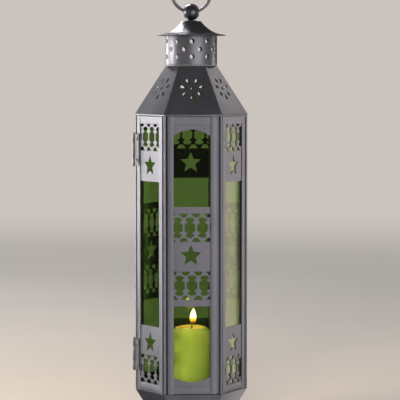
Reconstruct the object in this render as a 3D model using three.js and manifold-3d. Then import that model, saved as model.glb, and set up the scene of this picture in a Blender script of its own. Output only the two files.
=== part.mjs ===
// A six-sided metal candle lantern: a glazed body with pierced sheet in every side, a hinged door with
// a hook latch, a hipped roof, a pierced round chimney, a flared cap, a ball finial and a loose hanging ring.
// Millimetres, +Z up. The origin is the middle of the underside, and the front side faces -Y.
import * as THREE from "three";
import { mergeVertices } from "three/addons/utils/BufferGeometryUtils.js";
import Module from "manifold-3d";

const wasm = await Module();
wasm.setup();

// ---------- driving dimensions ----------
const SIDES = 6;
const TURN = (2 * Math.PI) / SIDES;
const GAP = 0.3; // left between any two pieces that meet

// heights
const FOOT_TOP = 13.7;
const BODY_BOTTOM = 50;
const BODY_TOP = 408.3;
const ROOF_TOP = 473;
const CAP_BRIM = 513.2;
const BALL_CENTRE = 543.1;

// plan of the body: a hexagon with a corner on +X
const CORNER = 73.3; // axis to the outside of a corner bead
const BEAD = 1.6; // bead radius
const BEAD_CENTRE = CORNER - BEAD;
const POST_FACE = 58.6; // distance from the axis to the outside of a post's legs
const POST_LEG = 8;
const POST_SHEET = 1;
const POST_WEB = 0.6; // half the thickness of the web that carries the bead

// side frame, drawn as the front side: x to the right, y negative outwards
const FRAME_FACE = 63.4; // distance from the axis to the frame's outer face
const FRAME_BACK = 58.9;
const LIP = 0.8; // thickness of the front lip
const FRAME = { left: -33, right: 30.4, bottom: BODY_BOTTOM + GAP, top: BODY_TOP - GAP };
const WINDOW = { left: -24.95, right: 22.25, bottom: 59.4, top: 397.8 };
const REBATE = 3.5; // the recess behind the lip, all round the window
const REAR_LEFT = -31.2; // the deep part of the left stile stops short of the corner post
const LAP = REBATE - 0.4; // how far sheet and glass go behind the lip
const SHEET = 0.8;
const GLASS = 1.6;

// pierced pattern
const PITCH = 16.1;
const BAND = 36.5; // height of one band of lattice
const LOBE = { half: 5.8, at: 9.4, top: 13.1 };
const PINCH = { half: 2.7, at: 7.1 };
const WAIST = { half: 6.8, at: 4.1 };
const WEDGE = { outer: 6.2, inner: 2.4, height: 5.2 };
const STAR = { outer: 14.4, ratio: 0.45, points: 5 };
const SPILL = 0.8; // cut-outs run this far behind the lip
const ARCHED = {
  panel: { bottom: 164.2, top: 292.3 },
  arch: { springing: 382.6, rise: 9 },
  sill: { springing: 73, rise: 7.2 },
  upperBand: { z: 265.6, phase: -2.7 },
  lowerBand: { z: 190.9, phase: 0 },
  star: { z: 229.4, offset: -1.5 },
};
const BORDERED = {
  clear: { bottom: 135.2, top: 323.5 },
  upper: { band: 381.3, star: 343.9 },
  lower: { band: 78.6, star: 113.6 },
  phase: 4.7,
};

// base
const FOOT = { bottom: 60, top: 52, band: 3 }; // corner radii, and the height of its upright band
const SKIRT = { foot: 52, head: 74 }; // corner radii

// roof, chimney and cap
const EAVE = 73.9;
const HEM = 2.5;
const ROOF_SHELL = 1.6; // horizontal thickness of the sloping sheet
const ROOF_NECK = 33.7; // corner radius at the top
const FLANGE = 58; // corner radius of the hole in the inward flanges
const SHEET_METAL = 1.2;
const FLOWER = { petals: 7, start: 8, length: 8, half: 2.75, eye: 2.25, fromTop: 0.47 };
const CHIMNEY = { radius: 33.6, wall: 1, hole: 3.15, perRow: 10, facets: 40 };
const CHIMNEY_ROWS = [12, 21.6, 31.8]; // hole heights above the chimney's foot
const SEAT = { inner: 27, outer: 33.9, thick: 1 };
const CAP_PROFILE = [
  [12.5, 18.1],
  [17.2, 12.6],
  [23.4, 7.6],
  [29.5, 3.9],
  [35.9, 1.7],
  [45.2, 0.2],
];
const CAP_SHEET = 1;
const STEM = { radius: 2.6, bottom: 523 };
const BALL = 10.9;
const BALL_FACETS = { round: 18, high: 10 };
const RING = { radius: 25.8, wire: 2 };
const RING_PLAY = 0.5; // round the wire in the ball's hole
const WASHER = { corner: 7, thick: 0.7 };
const NUT = { corner: 6.5, thick: 4 };

// hinges, latch and knob
const HINGE = { axis: 75.3, knuckle: 1.65, bore: 1.15, pin: 0.85, height: 41, middle: 20.4 };
const HINGE_HEIGHTS = { upper: 363.9, lower: 95.6 };
const LEAF = { near: 64, thick: 0.8, fixedEdge: 26.5, doorEdge: 24.4, root: 0.6, clearance: 0.7 };
const PIN_HEAD = 1.2; // height of a pin's head
const RIVET = { head: 2.1, dome: 0.9, shank: 0.8, hole: 1.1, spread: 14, inset: 3.4 };
const LATCH = { z: 232, pivot: -28, plate: 64.9, thick: 1.2, half: 2.2, peg: 1.1, slot: 1.5, nose: 1.4 };
const PIVOT = { spacer: 2, shank: 1, bore: 1.3, head: 2.1, edge: 0.8, dome: 1 };
const KNOB = { x: -29, z: 200, base: 3.4, neck: 1.9, grip: 4.4, length: 10.3 };

// candle
const CANDLE = { radius: 25.4, bottom: 55, top: 131.2, edge: 1, pool: 8 };
const WICK = { radius: 0.9, top: 134.5 };
const FLOOR = { radius: 64, bottom: 53.5, top: 54.7 };

// ---------- materials ----------
const metal = (color, roughness) => new THREE.MeshStandardMaterial({ color, roughness, metalness: 1 });
const PEWTER = metal(0x77757c, 0.42);
const DARK_PEWTER = metal(0x4c4b50, 0.38);
const STEEL = metal(0x8a8588, 0.35);
const GREEN_GLASS = new THREE.MeshStandardMaterial({
  color: 0x6f9a35,
  roughness: 0.08,
  transparent: true,
  opacity: 0.45,
});
const WAX = new THREE.MeshStandardMaterial({ color: 0xe9e4c9, roughness: 0.55 });
const COTTON = new THREE.MeshStandardMaterial({ color: 0x2b241c, roughness: 0.9 });

// ---------- solids ----------
function solid(geometry) {
  geometry.deleteAttribute("normal");
  geometry.deleteAttribute("uv");
  const merged = mergeVertices(geometry, 1e-4);
  return new wasm.Manifold(
    new wasm.Mesh({
      numProp: 3,
      vertProperties: merged.attributes.position.array,
      triVerts: new Uint32Array(merged.index.array),
    }),
  );
}

function geometryOf(made) {
  const mesh = made.getMesh();
  const geometry = new THREE.BufferGeometry();
  geometry.setAttribute("position", new THREE.BufferAttribute(mesh.vertProperties, 3));
  geometry.setIndex(new THREE.BufferAttribute(mesh.triVerts, 1));
  geometry.computeVertexNormals();
  return geometry;
}

// A box between two corners.
function box(x0, x1, y0, y1, z0, z1) {
  const geometry = new THREE.BoxGeometry(x1 - x0, y1 - y0, z1 - z0);
  return solid(geometry.translate((x0 + x1) / 2, (y0 + y1) / 2, (z0 + z1) / 2));
}

// Shapes drawn in x and z, given thickness from y0 to y1.
function slab(shapes, y0, y1, arcSteps = 3) {
  const options = { depth: y1 - y0, bevelEnabled: false, curveSegments: arcSteps };
  return solid(new THREE.ExtrudeGeometry(shapes, options).rotateX(Math.PI / 2).translate(0, y1, 0));
}

// A shape drawn in plan, standing from z0 to z1.
function prism(shape, z0, z1, arcSteps = 6) {
  const options = { depth: z1 - z0, bevelEnabled: false, curveSegments: arcSteps };
  return solid(new THREE.ExtrudeGeometry(shape, options).translate(0, 0, z0));
}

// A hexagonal prism or frustum with a corner on +X.
function hex(bottomRadius, topRadius, z0, z1) {
  const geometry = new THREE.CylinderGeometry(topRadius, bottomRadius, z1 - z0, SIDES);
  return solid(geometry.rotateX(Math.PI / 2).rotateZ(TURN / 2).translate(0, 0, (z0 + z1) / 2));
}

function rod(radius, z0, z1, facets) {
  const geometry = new THREE.CylinderGeometry(radius, radius, z1 - z0, facets);
  return solid(geometry.rotateX(Math.PI / 2).translate(0, 0, (z0 + z1) / 2));
}

// A turned solid from [radius, height] points that climb on the outside, round the Z axis.
function turned(profile, facets) {
  const points = profile.map(([r, z]) => new THREE.Vector2(r, z));
  return solid(new THREE.LatheGeometry(points, facets).rotateX(Math.PI / 2));
}

// A turned solid laid so that its own axis points out of the front side. Its foot is at distance `from` from
// the lantern's axis.
function turnedOutwards(profile, facets, x, from, z) {
  return turned(profile, facets).rotate([90, 0, 0]).translate([x, -from, z]);
}

// ---------- the assembly ----------
const lantern = new THREE.Group();

function add(name, made, material, parent = lantern) {
  const mesh = new THREE.Mesh(geometryOf(made), material);
  mesh.name = name;
  parent.add(mesh);
}

const SIDE_NAMES = ["front", "right_front", "right_back", "back", "left_back", "left_front"];
const DOOR_SIDE = 4;
const HINGE_SIDE = 5; // the side whose stile carries the fixed leaves
const sides = SIDE_NAMES.map((_, k) => {
  const group = new THREE.Group();
  group.rotation.z = k * TURN;
  lantern.add(group);
  return group;
});

// ---------- side frames, pierced sheets and glass ----------
function sideFrame() {
  const w = WINDOW;
  const lip = box(FRAME.left, FRAME.right, -FRAME_FACE, -FRAME_FACE + LIP, FRAME.bottom, FRAME.top);
  const rear = box(REAR_LEFT, FRAME.right, -FRAME_FACE + LIP / 2, -FRAME_BACK, FRAME.bottom, FRAME.top);
  const opening = box(w.left, w.right, -CORNER, 0, w.bottom, w.top);
  const rebate = box(
    w.left - REBATE,
    w.right + REBATE,
    -FRAME_FACE + LIP,
    0,
    w.bottom - REBATE,
    w.top + REBATE,
  );
  return lip.add(rear).subtract(opening).subtract(rebate);
}

// The tall opening of the lattice: a round lobe, a pinch and a wide waist, the same upside down.
function lobedOpening(x, z) {
  const shape = new THREE.Shape();
  shape.moveTo(x + LOBE.half, z + LOBE.at);
  shape.absellipse(x, z + LOBE.at, LOBE.half, LOBE.top - LOBE.at, 0, Math.PI, false, 0);
  shape.lineTo(x - PINCH.half, z + PINCH.at);
  shape.lineTo(x - WAIST.half, z + WAIST.at);
  shape.lineTo(x - WAIST.half, z - WAIST.at);
  shape.lineTo(x - PINCH.half, z - PINCH.at);
  shape.lineTo(x - LOBE.half, z - LOBE.at);
  shape.absellipse(x, z - LOBE.at, LOBE.half, LOBE.top - LOBE.at, Math.PI, 2 * Math.PI, false, 0);
  shape.lineTo(x + PINCH.half, z - PINCH.at);
  shape.lineTo(x + WAIST.half, z - WAIST.at);
  shape.lineTo(x + WAIST.half, z + WAIST.at);
  shape.lineTo(x + PINCH.half, z + PINCH.at);
  return shape;
}

// The small wedge between two lobes, wide at the band's edge. `way` is 1 at a band's top and -1 at its foot.
function wedgeOpening(x, z, way) {
  const edge = z + (way * BAND) / 2;
  const tip = edge - way * WEDGE.height;
  return new THREE.Shape([
    new THREE.Vector2(x - WEDGE.outer, edge),
    new THREE.Vector2(x - WEDGE.inner, tip),
    new THREE.Vector2(x + WEDGE.inner, tip),
    new THREE.Vector2(x + WEDGE.outer, edge),
  ]);
}

// One band of lattice round height z, cut off at the sides of the window. `phase` is how far its middle
// opening stands from the window's middle.
function latticeBand(z, phase, zLow, zHigh) {
  const middle = (WINDOW.left + WINDOW.right) / 2;
  const shapes = [];
  for (let i = -2; i <= 2; i++) {
    const x = middle + phase + i * PITCH;
    shapes.push(lobedOpening(x, z));
    shapes.push(wedgeOpening(x + PITCH / 2, z, 1), wedgeOpening(x + PITCH / 2, z, -1));
  }
  const reach = box(WINDOW.left - SPILL, WINDOW.right + SPILL, -CORNER, 0, zLow, zHigh);
  return slab(shapes, -CORNER, 0, 2).intersect(reach);
}

// A star whose centre stands `offset` to the right of the window's middle.
function starOpening(z, offset = 0) {
  const middle = (WINDOW.left + WINDOW.right) / 2 + offset;
  const points = [];
  for (let i = 0; i < 2 * STAR.points; i++) {
    const r = i % 2 ? STAR.outer * STAR.ratio : STAR.outer;
    const a = Math.PI / 2 + (i * Math.PI) / STAR.points;
    points.push(new THREE.Vector2(middle + r * Math.cos(a), z + r * Math.sin(a)));
  }
  return slab(new THREE.Shape(points), -CORNER, 0);
}

// A clear opening whose top and foot may bow away from its middle by `topRise` and `footRise`.
function clearOpening(bottom, top, footRise, topRise) {
  const left = WINDOW.left - SPILL;
  const right = WINDOW.right + SPILL;
  const half = (right - left) / 2;
  const shape = new THREE.Shape();
  shape.moveTo(left, bottom);
  const bow = (z, rise, way) => {
    const r = (half * half + rise * rise) / (2 * rise);
    const a = Math.asin(half / r);
    const up = (way * Math.PI) / 2;
    shape.absarc((left + right) / 2, z - way * (r - rise), r, up - a, up + a, false);
  };
  if (footRise) bow(bottom, footRise, -1);
  shape.lineTo(right, bottom);
  shape.lineTo(right, top);
  if (topRise) bow(top, topRise, 1);
  shape.lineTo(left, top);
  return slab(shape, -CORNER, 0, 4);
}

const LAP_BOX = {
  left: WINDOW.left - LAP,
  right: WINDOW.right + LAP,
  bottom: WINDOW.bottom - LAP,
  top: WINDOW.top + LAP,
};
const SHEET_FRONT = -FRAME_FACE + LIP + GAP;
const GLASS_FRONT = SHEET_FRONT + SHEET + GAP;

function layer(front, thick) {
  return box(LAP_BOX.left, LAP_BOX.right, front, front + thick, LAP_BOX.bottom, LAP_BOX.top);
}

// The front, right-back and left-back sides: a pierced panel at mid height, arched edges at the top and foot.
function archedSheet() {
  const { panel, arch, sill, upperBand, lowerBand, star } = ARCHED;
  return layer(SHEET_FRONT, SHEET)
    .subtract(clearOpening(panel.top, arch.springing, 0, arch.rise))
    .subtract(clearOpening(sill.springing, panel.bottom, sill.rise, 0))
    .subtract(latticeBand(upperBand.z, upperBand.phase, panel.bottom, panel.top))
    .subtract(latticeBand(lowerBand.z, lowerBand.phase, panel.bottom, panel.top))
    .subtract(starOpening(star.z, star.offset));
}

// The other three sides: pierced panels at the top and foot, clear between.
function borderedSheet() {
  const { clear, upper, lower, phase } = BORDERED;
  return layer(SHEET_FRONT, SHEET)
    .subtract(clearOpening(clear.bottom, clear.top, 0, 0))
    .subtract(latticeBand(upper.band, phase, clear.top, WINDOW.top + SPILL))
    .subtract(latticeBand(lower.band, phase, WINDOW.bottom - SPILL, clear.bottom))
    .subtract(starOpening(upper.star))
    .subtract(starOpening(lower.star));
}

SIDE_NAMES.forEach((name, k) => {
  const isDoor = k === DOOR_SIDE;
  add(isDoor ? "door_frame" : `${name}_frame`, sideFrame(), PEWTER, sides[k]);
  const sheet = k % 2 ? borderedSheet() : archedSheet();
  add(isDoor ? "door_pierced_sheet" : `${name}_pierced_sheet`, sheet, DARK_PEWTER, sides[k]);
  add(isDoor ? "door_glass" : `${name}_glass`, layer(GLASS_FRONT, GLASS), GREEN_GLASS, sides[k]);
});

// ---------- corner posts ----------
// A folded sheet with two legs behind the neighbouring frames, and a web that carries a round bead at the
// corner.
function cornerPost() {
  const slope = Math.PI / 2 + TURN / 2;
  const leg = new THREE.Vector2(Math.cos(slope), Math.sin(slope)).multiplyScalar(POST_LEG);
  const outer = POST_FACE / Math.cos(TURN / 2);
  const inner = (POST_FACE - POST_SHEET) / Math.cos(TURN / 2);
  const webFoot = outer - POST_WEB * Math.tan(TURN / 2);
  const grip = Math.asin(POST_WEB / BEAD);
  const shape = new THREE.Shape();
  shape.moveTo(inner + leg.x, -leg.y);
  shape.lineTo(outer + leg.x, -leg.y);
  shape.lineTo(webFoot, -POST_WEB);
  shape.absarc(BEAD_CENTRE, 0, BEAD, -Math.PI + grip, Math.PI - grip, false);
  shape.lineTo(webFoot, POST_WEB);
  shape.lineTo(outer + leg.x, leg.y);
  shape.lineTo(inner + leg.x, leg.y);
  shape.lineTo(inner, 0);
  return prism(shape, FRAME.bottom, FRAME.top, 5);
}

const POST_NAMES = ["right", "back_right", "back_left", "left", "front_left", "front_right"];
POST_NAMES.forEach((name, k) => {
  add(`${name}_post`, cornerPost().rotate([0, 0, (k * 360) / SIDES]), PEWTER);
});

// ---------- base ----------
// The sloping sheet under the body, turned in at the top to carry the posts and frames.
function baseSkirt() {
  const { foot, head } = SKIRT;
  const bottom = FOOT_TOP + GAP;
  const shell = hex(foot, head, bottom, BODY_BOTTOM);
  const inside = hex(foot - ROOF_SHELL, head - ROOF_SHELL, bottom, BODY_BOTTOM);
  const flangeHole = hex(FLANGE, FLANGE, BODY_BOTTOM - 2 * SHEET_METAL, BODY_BOTTOM + 1);
  return shell.subtract(inside.translate([0, 0, -SHEET_METAL])).subtract(flangeHole);
}

function baseFoot() {
  const { bottom, top, band } = FOOT;
  const outer = hex(bottom, bottom, 0, band).add(hex(bottom, top, band, FOOT_TOP));
  const hollow = hex(bottom - ROOF_SHELL, bottom - ROOF_SHELL, SHEET_METAL, band).add(
    hex(bottom - ROOF_SHELL, top - ROOF_SHELL, band, FOOT_TOP + 0.01),
  );
  return outer.subtract(hollow);
}

add("base_skirt", baseSkirt(), PEWTER);
add("base_foot", baseFoot(), PEWTER);
add("floor_plate", hex(FLOOR.radius, FLOOR.radius, FLOOR.bottom, FLOOR.top), PEWTER);

// ---------- roof ----------
// A flower of pointed petals round an eye, in the plane of a shape.
function flowerShapes() {
  const shapes = [new THREE.Shape().absarc(0, 0, FLOWER.eye, 0, 2 * Math.PI, false)];
  const { start, length, half, petals } = FLOWER;
  for (let i = 0; i < petals; i++) {
    const a = -Math.PI / 2 + (i * 2 * Math.PI) / petals;
    const middle = new THREE.Vector2();
    const at = (along, across) => new THREE.Vector2(along, across).rotateAround(middle, a);
    const tip = at(start, 0);
    const wide = start + length - half;
    const petal = new THREE.Shape();
    petal.moveTo(tip.x, tip.y);
    const near = at(wide, -half);
    petal.lineTo(near.x, near.y);
    const centre = at(wide, 0);
    petal.absarc(centre.x, centre.y, half, a - Math.PI / 2, a + Math.PI / 2, false);
    shapes.push(petal);
  }
  return shapes;
}

function roofShell() {
  const slopeFoot = BODY_TOP + HEM;
  const apothem = (r) => r * Math.cos(TURN / 2);
  const run = apothem(EAVE) - apothem(ROOF_NECK);
  const rise = ROOF_TOP - slopeFoot;
  let shell = hex(EAVE, EAVE, BODY_TOP, slopeFoot).add(hex(EAVE, ROOF_NECK, slopeFoot, ROOF_TOP));
  const inside = EAVE - ROOF_SHELL;
  const hollow = hex(inside, inside, BODY_TOP + SHEET_METAL, slopeFoot)
    .add(hex(inside, ROOF_NECK - ROOF_SHELL, slopeFoot, ROOF_TOP + 0.01))
    .add(hex(FLANGE, FLANGE, BODY_TOP - 1, slopeFoot));
  shell = shell.subtract(hollow);
  const y = -(apothem(ROOF_NECK) + FLOWER.fromTop * run);
  const z = ROOF_TOP - FLOWER.fromTop * rise;
  const depth = 8;
  const options = { depth, bevelEnabled: false, curveSegments: 3 };
  const flower = new THREE.ExtrudeGeometry(flowerShapes(), options)
    .translate(0, 0, -depth / 2)
    .rotateX(Math.atan2(rise, run))
    .translate(0, y, z);
  const cutter = solid(flower);
  for (let k = 0; k < SIDES; k++) shell = shell.subtract(cutter.rotate([0, 0, (k * 360) / SIDES]));
  return shell;
}

add("roof_shell", roofShell(), DARK_PEWTER);

// ---------- chimney, cap, finial and ring ----------
function ringPlate(inner, outer, z0, z1, facets) {
  return turned(
    [
      [inner, z0],
      [outer, z0],
      [outer, z1],
      [inner, z1],
      [inner, z0],
    ],
    facets,
  );
}

const SEAT_BOTTOM = ROOF_TOP + GAP;
const CHIMNEY_BOTTOM = SEAT_BOTTOM + SEAT.thick + GAP;
const CHIMNEY_TOP = CAP_BRIM + 0.7;
const CAP_TOP = CAP_BRIM + CAP_PROFILE[0][1];
const STEM_HOLE = STEM.radius + GAP;

function chimney() {
  let wall = ringPlate(
    CHIMNEY.radius - CHIMNEY.wall,
    CHIMNEY.radius,
    CHIMNEY_BOTTOM,
    CHIMNEY_TOP,
    CHIMNEY.facets,
  );
  const drill = rod(CHIMNEY.hole, 0, 6, 8).rotate([90, 0, 0]).translate([0, -CHIMNEY.radius + 3, 0]);
  const step = 360 / CHIMNEY.perRow;
  CHIMNEY_ROWS.forEach((height, row) => {
    for (let i = 0; i < CHIMNEY.perRow; i++) {
      const turn = (i + (row % 2) / 2) * step;
      wall = wall.subtract(drill.translate([0, 0, ROOF_TOP + height]).rotate([0, 0, turn]));
    }
  });
  return wall;
}

function cap() {
  const outside = CAP_PROFILE.map(([r, h]) => [r, CAP_BRIM + h]).reverse();
  const inside = CAP_PROFILE.map(([r, h]) => [r, CAP_BRIM + h - CAP_SHEET]);
  const rim = [
    [STEM_HOLE, CAP_TOP],
    [STEM_HOLE, CAP_TOP - CAP_SHEET],
  ];
  const profile = [...outside, ...rim, ...inside, outside[0]];
  return turned(profile, 32);
}

// The ball is drilled across for the ring. The hole widens towards both ends so that the curved wire can
// turn.
function finialBall() {
  const sphere = new THREE.SphereGeometry(BALL, BALL_FACETS.round, BALL_FACETS.high);
  const ball = solid(sphere.rotateX(Math.PI / 2)).translate([0, 0, BALL_CENTRE]);
  const reach = BALL + 2;
  const steps = 6;
  const side = [];
  for (let i = 0; i <= steps; i++) {
    const x = -reach + (2 * reach * i) / steps;
    const bend = RING.radius - Math.sqrt(RING.radius ** 2 - x ** 2);
    side.push([RING.wire + RING_PLAY + bend, x]);
  }
  const drill = turned([[0, -reach], ...side, [0, reach]], 12).rotate([0, 90, 0]);
  return ball
    .add(rod(STEM.radius, STEM.bottom, BALL_CENTRE - BALL / 2, 16))
    .subtract(drill.translate([0, 0, BALL_CENTRE]));
}

function hangingRing() {
  const torus = new THREE.TorusGeometry(RING.radius, RING.wire, 8, 32).rotateX(Math.PI / 2);
  return solid(torus).translate([0, 0, BALL_CENTRE + RING.radius]);
}

// The hexagonal nut under the cap that holds the ball's stem.
function finialNut() {
  const top = CAP_TOP - CAP_SHEET - GAP;
  return ringPlate(STEM_HOLE / Math.cos(TURN / 2), NUT.corner, top - NUT.thick, top, SIDES);
}

function finialWasher() {
  const bottom = CAP_TOP + GAP;
  return ringPlate(STEM_HOLE, WASHER.corner, bottom, bottom + WASHER.thick, 16);
}

add("chimney_seat", ringPlate(SEAT.inner, SEAT.outer, SEAT_BOTTOM, SEAT_BOTTOM + SEAT.thick, 30), PEWTER);
add("chimney", chimney(), PEWTER);
add("cap", cap(), DARK_PEWTER);
add("finial_washer", finialWasher(), DARK_PEWTER);
add("finial_nut", finialNut(), STEEL);
add("finial_ball", finialBall(), DARK_PEWTER);
add("hanging_ring", hangingRing(), STEEL);

// ---------- hinges ----------
// Both leaves are drawn for the right-hand corner of the front side; `way` is -1 for the left-hand corner.
function hingeLeaf(height, edge, way, outerKnuckles) {
  const axis = { x: HINGE.axis * Math.sin(TURN / 2), y: -HINGE.axis * Math.cos(TURN / 2) };
  const half = HINGE.height / 2;
  const middle = HINGE.middle / 2;
  const [low, high] = [height - half, height + half];
  const plate = box(edge, axis.x - LEAF.root, -LEAF.near - LEAF.thick, -LEAF.near, low, high);
  const knuckle = rod(HINGE.knuckle, low, high, 12).translate([axis.x, axis.y, 0]);
  const bore = rod(HINGE.bore, low - 1, high + 1, 10).translate([axis.x, axis.y, 0]);
  const reach = HINGE.knuckle + LEAF.clearance;
  const clear = (z0, z1) => box(axis.x - reach, axis.x + reach, axis.y - reach, -LEAF.near + reach, z0, z1);
  let leaf = plate.add(knuckle).subtract(bore);
  if (outerKnuckles) {
    leaf = leaf.subtract(clear(height - middle, height + middle));
  } else {
    leaf = leaf.subtract(clear(low - 1, height - middle + GAP));
    leaf = leaf.subtract(clear(height + middle - GAP, high + 1));
  }
  const hole = rod(RIVET.hole, 0, 4, 8).rotate([90, 0, 0]);
  for (const dz of [-RIVET.spread, RIVET.spread]) {
    leaf = leaf.subtract(hole.translate([rivetPlace(edge), -LEAF.near + 2, height + dz]));
  }
  return way < 0 ? leaf.mirror([1, 0, 0]) : leaf;
}

const rivetPlace = (edge) => edge + RIVET.inset;

function rivet(x, z) {
  const under = LEAF.near - FRAME_FACE + LEAF.thick; // from the frame's face to the top of the leaf
  const profile = [
    [0, GAP],
    [RIVET.shank, GAP],
    [RIVET.shank, under + GAP],
    [RIVET.head, under + GAP],
    [RIVET.head * 0.75, under + GAP + RIVET.dome * 0.7],
    [0, under + GAP + RIVET.dome],
  ];
  return turnedOutwards(profile, 8, x, FRAME_FACE, z);
}

function hingePin(height) {
  const half = HINGE.height / 2 + GAP;
  const cap = PIN_HEAD;
  const head = HINGE.knuckle - 0.2;
  const pin = turned(
    [
      [0, height - half - cap],
      [head, height - half - cap],
      [head, height - half],
      [HINGE.pin, height - half],
      [HINGE.pin, height + half],
      [head, height + half],
      [head, height + half + cap],
      [0, height + half + cap],
    ],
    12,
  );
  return pin.translate([-HINGE.axis, 0, 0]);
}

for (const [place, height] of Object.entries(HINGE_HEIGHTS)) {
  add(`${place}_hinge_fixed_leaf`, hingeLeaf(height, LEAF.fixedEdge, -1, true), STEEL, sides[HINGE_SIDE]);
  add(`${place}_hinge_door_leaf`, hingeLeaf(height, LEAF.doorEdge, 1, false), STEEL, sides[DOOR_SIDE]);
  add(`${place}_hinge_pin`, hingePin(height), STEEL);
  for (const [end, dz] of [["top", RIVET.spread], ["bottom", -RIVET.spread]]) {
    const fixed = rivet(-rivetPlace(LEAF.fixedEdge), height + dz);
    const moving = rivet(rivetPlace(LEAF.doorEdge), height + dz);
    add(`${place}_hinge_fixed_${end}_rivet`, fixed, STEEL, sides[HINGE_SIDE]);
    add(`${place}_hinge_door_${end}_rivet`, moving, STEEL, sides[DOOR_SIDE]);
  }
}

// ---------- latch and knob ----------
// A flat hook on the door's free stile drops over a peg on the neighbouring corner.
const PEG_X = -BEAD_CENTRE * Math.sin(TURN / 2);

function latchHook() {
  const { pivot, half, z, slot, nose } = LATCH;
  const tip = PEG_X - slot - nose;
  const shape = new THREE.Shape();
  shape.moveTo(pivot, z - half);
  shape.absarc(pivot, z, half + 0.6, -Math.PI / 2, Math.PI / 2, false);
  shape.lineTo(tip + 1, z + half + 0.6);
  shape.lineTo(tip, z + half - 0.6);
  shape.lineTo(tip, z - half);
  shape.lineTo(PEG_X - slot, z - half);
  shape.absarc(PEG_X, z, slot, Math.PI, 0, true);
  shape.lineTo(PEG_X + slot, z - half);
  const bore = rod(PIVOT.bore, 0, 6, 12).rotate([90, 0, 0]).translate([pivot, -LATCH.plate + 3, z]);
  return slab(shape, -LATCH.plate - LATCH.thick, -LATCH.plate, 6).subtract(bore);
}

function latchPivot() {
  const { spacer, shank, head, edge, dome } = PIVOT;
  const ledge = LATCH.plate - FRAME_FACE - GAP;
  const top = LATCH.plate + LATCH.thick + GAP - FRAME_FACE;
  const profile = [
    [0, GAP],
    [spacer, GAP],
    [spacer, ledge],
    [shank, ledge],
    [shank, top],
    [head, top],
    [head * 0.75, top + edge],
    [0, top + dome],
  ];
  return turnedOutwards(profile, 12, LATCH.pivot, FRAME_FACE, LATCH.z);
}

function latchPeg() {
  const foot = BEAD_CENTRE * Math.cos(TURN / 2) + BEAD + GAP;
  const tip = LATCH.plate + LATCH.thick + LATCH.nose - foot;
  const profile = [
    [0, 0],
    [LATCH.peg, 0],
    [LATCH.peg, tip - 0.5],
    [LATCH.peg * 0.6, tip],
    [0, tip],
  ];
  return turnedOutwards(profile, 12, PEG_X, foot, LATCH.z);
}

function doorKnob() {
  const { base, neck, grip, length } = KNOB;
  const profile = [
    [0, GAP],
    [base, GAP],
    [base, length * 0.12],
    [neck, length * 0.21],
    [neck, length * 0.39],
    [grip * 0.89, length * 0.54],
    [grip, length * 0.72],
    [grip * 0.82, length * 0.89],
    [grip * 0.41, length * 0.98],
    [0, length],
  ];
  return turnedOutwards(profile, 12, KNOB.x, FRAME_FACE, KNOB.z);
}

add("latch_hook", latchHook(), STEEL, sides[DOOR_SIDE]);
add("latch_pivot", latchPivot(), STEEL, sides[DOOR_SIDE]);
add("latch_peg", latchPeg(), STEEL, sides[DOOR_SIDE]);
add("door_knob", doorKnob(), STEEL, sides[DOOR_SIDE]);

// ---------- candle ----------
function candle() {
  const { radius, bottom, top, edge, pool } = CANDLE;
  const profile = [
    [0, bottom],
    [radius - edge, bottom],
    [radius, bottom + edge],
    [radius, top - 3.5 * edge],
    [radius - 0.9 * edge, top - 1.2 * edge],
    [radius - 3 * edge, top],
    [radius - 5 * edge, top - edge],
    [radius - 7.5 * edge, top - pool * 0.7],
    [pool, top - pool * 0.94],
    [0, top - pool],
  ];
  return turned(profile, 24);
}

add("candle", candle(), WAX);
add("wick", rod(WICK.radius, CANDLE.top - CANDLE.pool + GAP, WICK.top, 8), COTTON);

export default lantern;
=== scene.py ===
"""A six-sided metal candle lantern with green glass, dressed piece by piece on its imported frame.

Meshes are drawn in millimetres in the lantern's own frame, with +Z up and the front side facing -Y. They
are turned into metres as each piece is finished. A side is drawn as the front one, then turned to its place.
"""
import logging
import math
from dataclasses import dataclass
from enum import Enum
from typing import Callable, Iterable, Sequence, Union

import bmesh
import bpy
from mathutils import Matrix, Vector, noise


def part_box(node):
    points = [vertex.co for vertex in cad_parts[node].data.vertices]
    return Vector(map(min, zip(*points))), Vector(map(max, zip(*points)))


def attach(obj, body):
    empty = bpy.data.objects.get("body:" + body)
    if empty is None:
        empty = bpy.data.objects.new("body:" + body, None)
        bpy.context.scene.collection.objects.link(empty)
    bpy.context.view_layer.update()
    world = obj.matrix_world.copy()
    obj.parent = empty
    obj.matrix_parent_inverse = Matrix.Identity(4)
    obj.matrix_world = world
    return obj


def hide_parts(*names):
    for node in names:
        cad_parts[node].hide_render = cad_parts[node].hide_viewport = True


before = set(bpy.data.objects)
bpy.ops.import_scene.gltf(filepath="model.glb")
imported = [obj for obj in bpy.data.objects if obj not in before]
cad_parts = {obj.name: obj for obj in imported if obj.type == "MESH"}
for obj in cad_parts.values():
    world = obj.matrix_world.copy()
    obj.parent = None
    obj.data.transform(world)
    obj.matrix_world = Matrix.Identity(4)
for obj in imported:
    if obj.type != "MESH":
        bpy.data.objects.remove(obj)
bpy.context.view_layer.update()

LOG = logging.getLogger("lantern")
MM = 0.001
SIDES = 6
TURN = math.tau / SIDES
SMOOTH_ANGLE = math.radians(32)

Point2 = tuple[float, float]
Point3 = tuple[float, float, float]
Colour = tuple[float, float, float]
Value = Union["Signal", float, int, tuple]
BLACK = (0.0, 0.0, 0.0)


# ---------------------------------------------------------------- node trees


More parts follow.
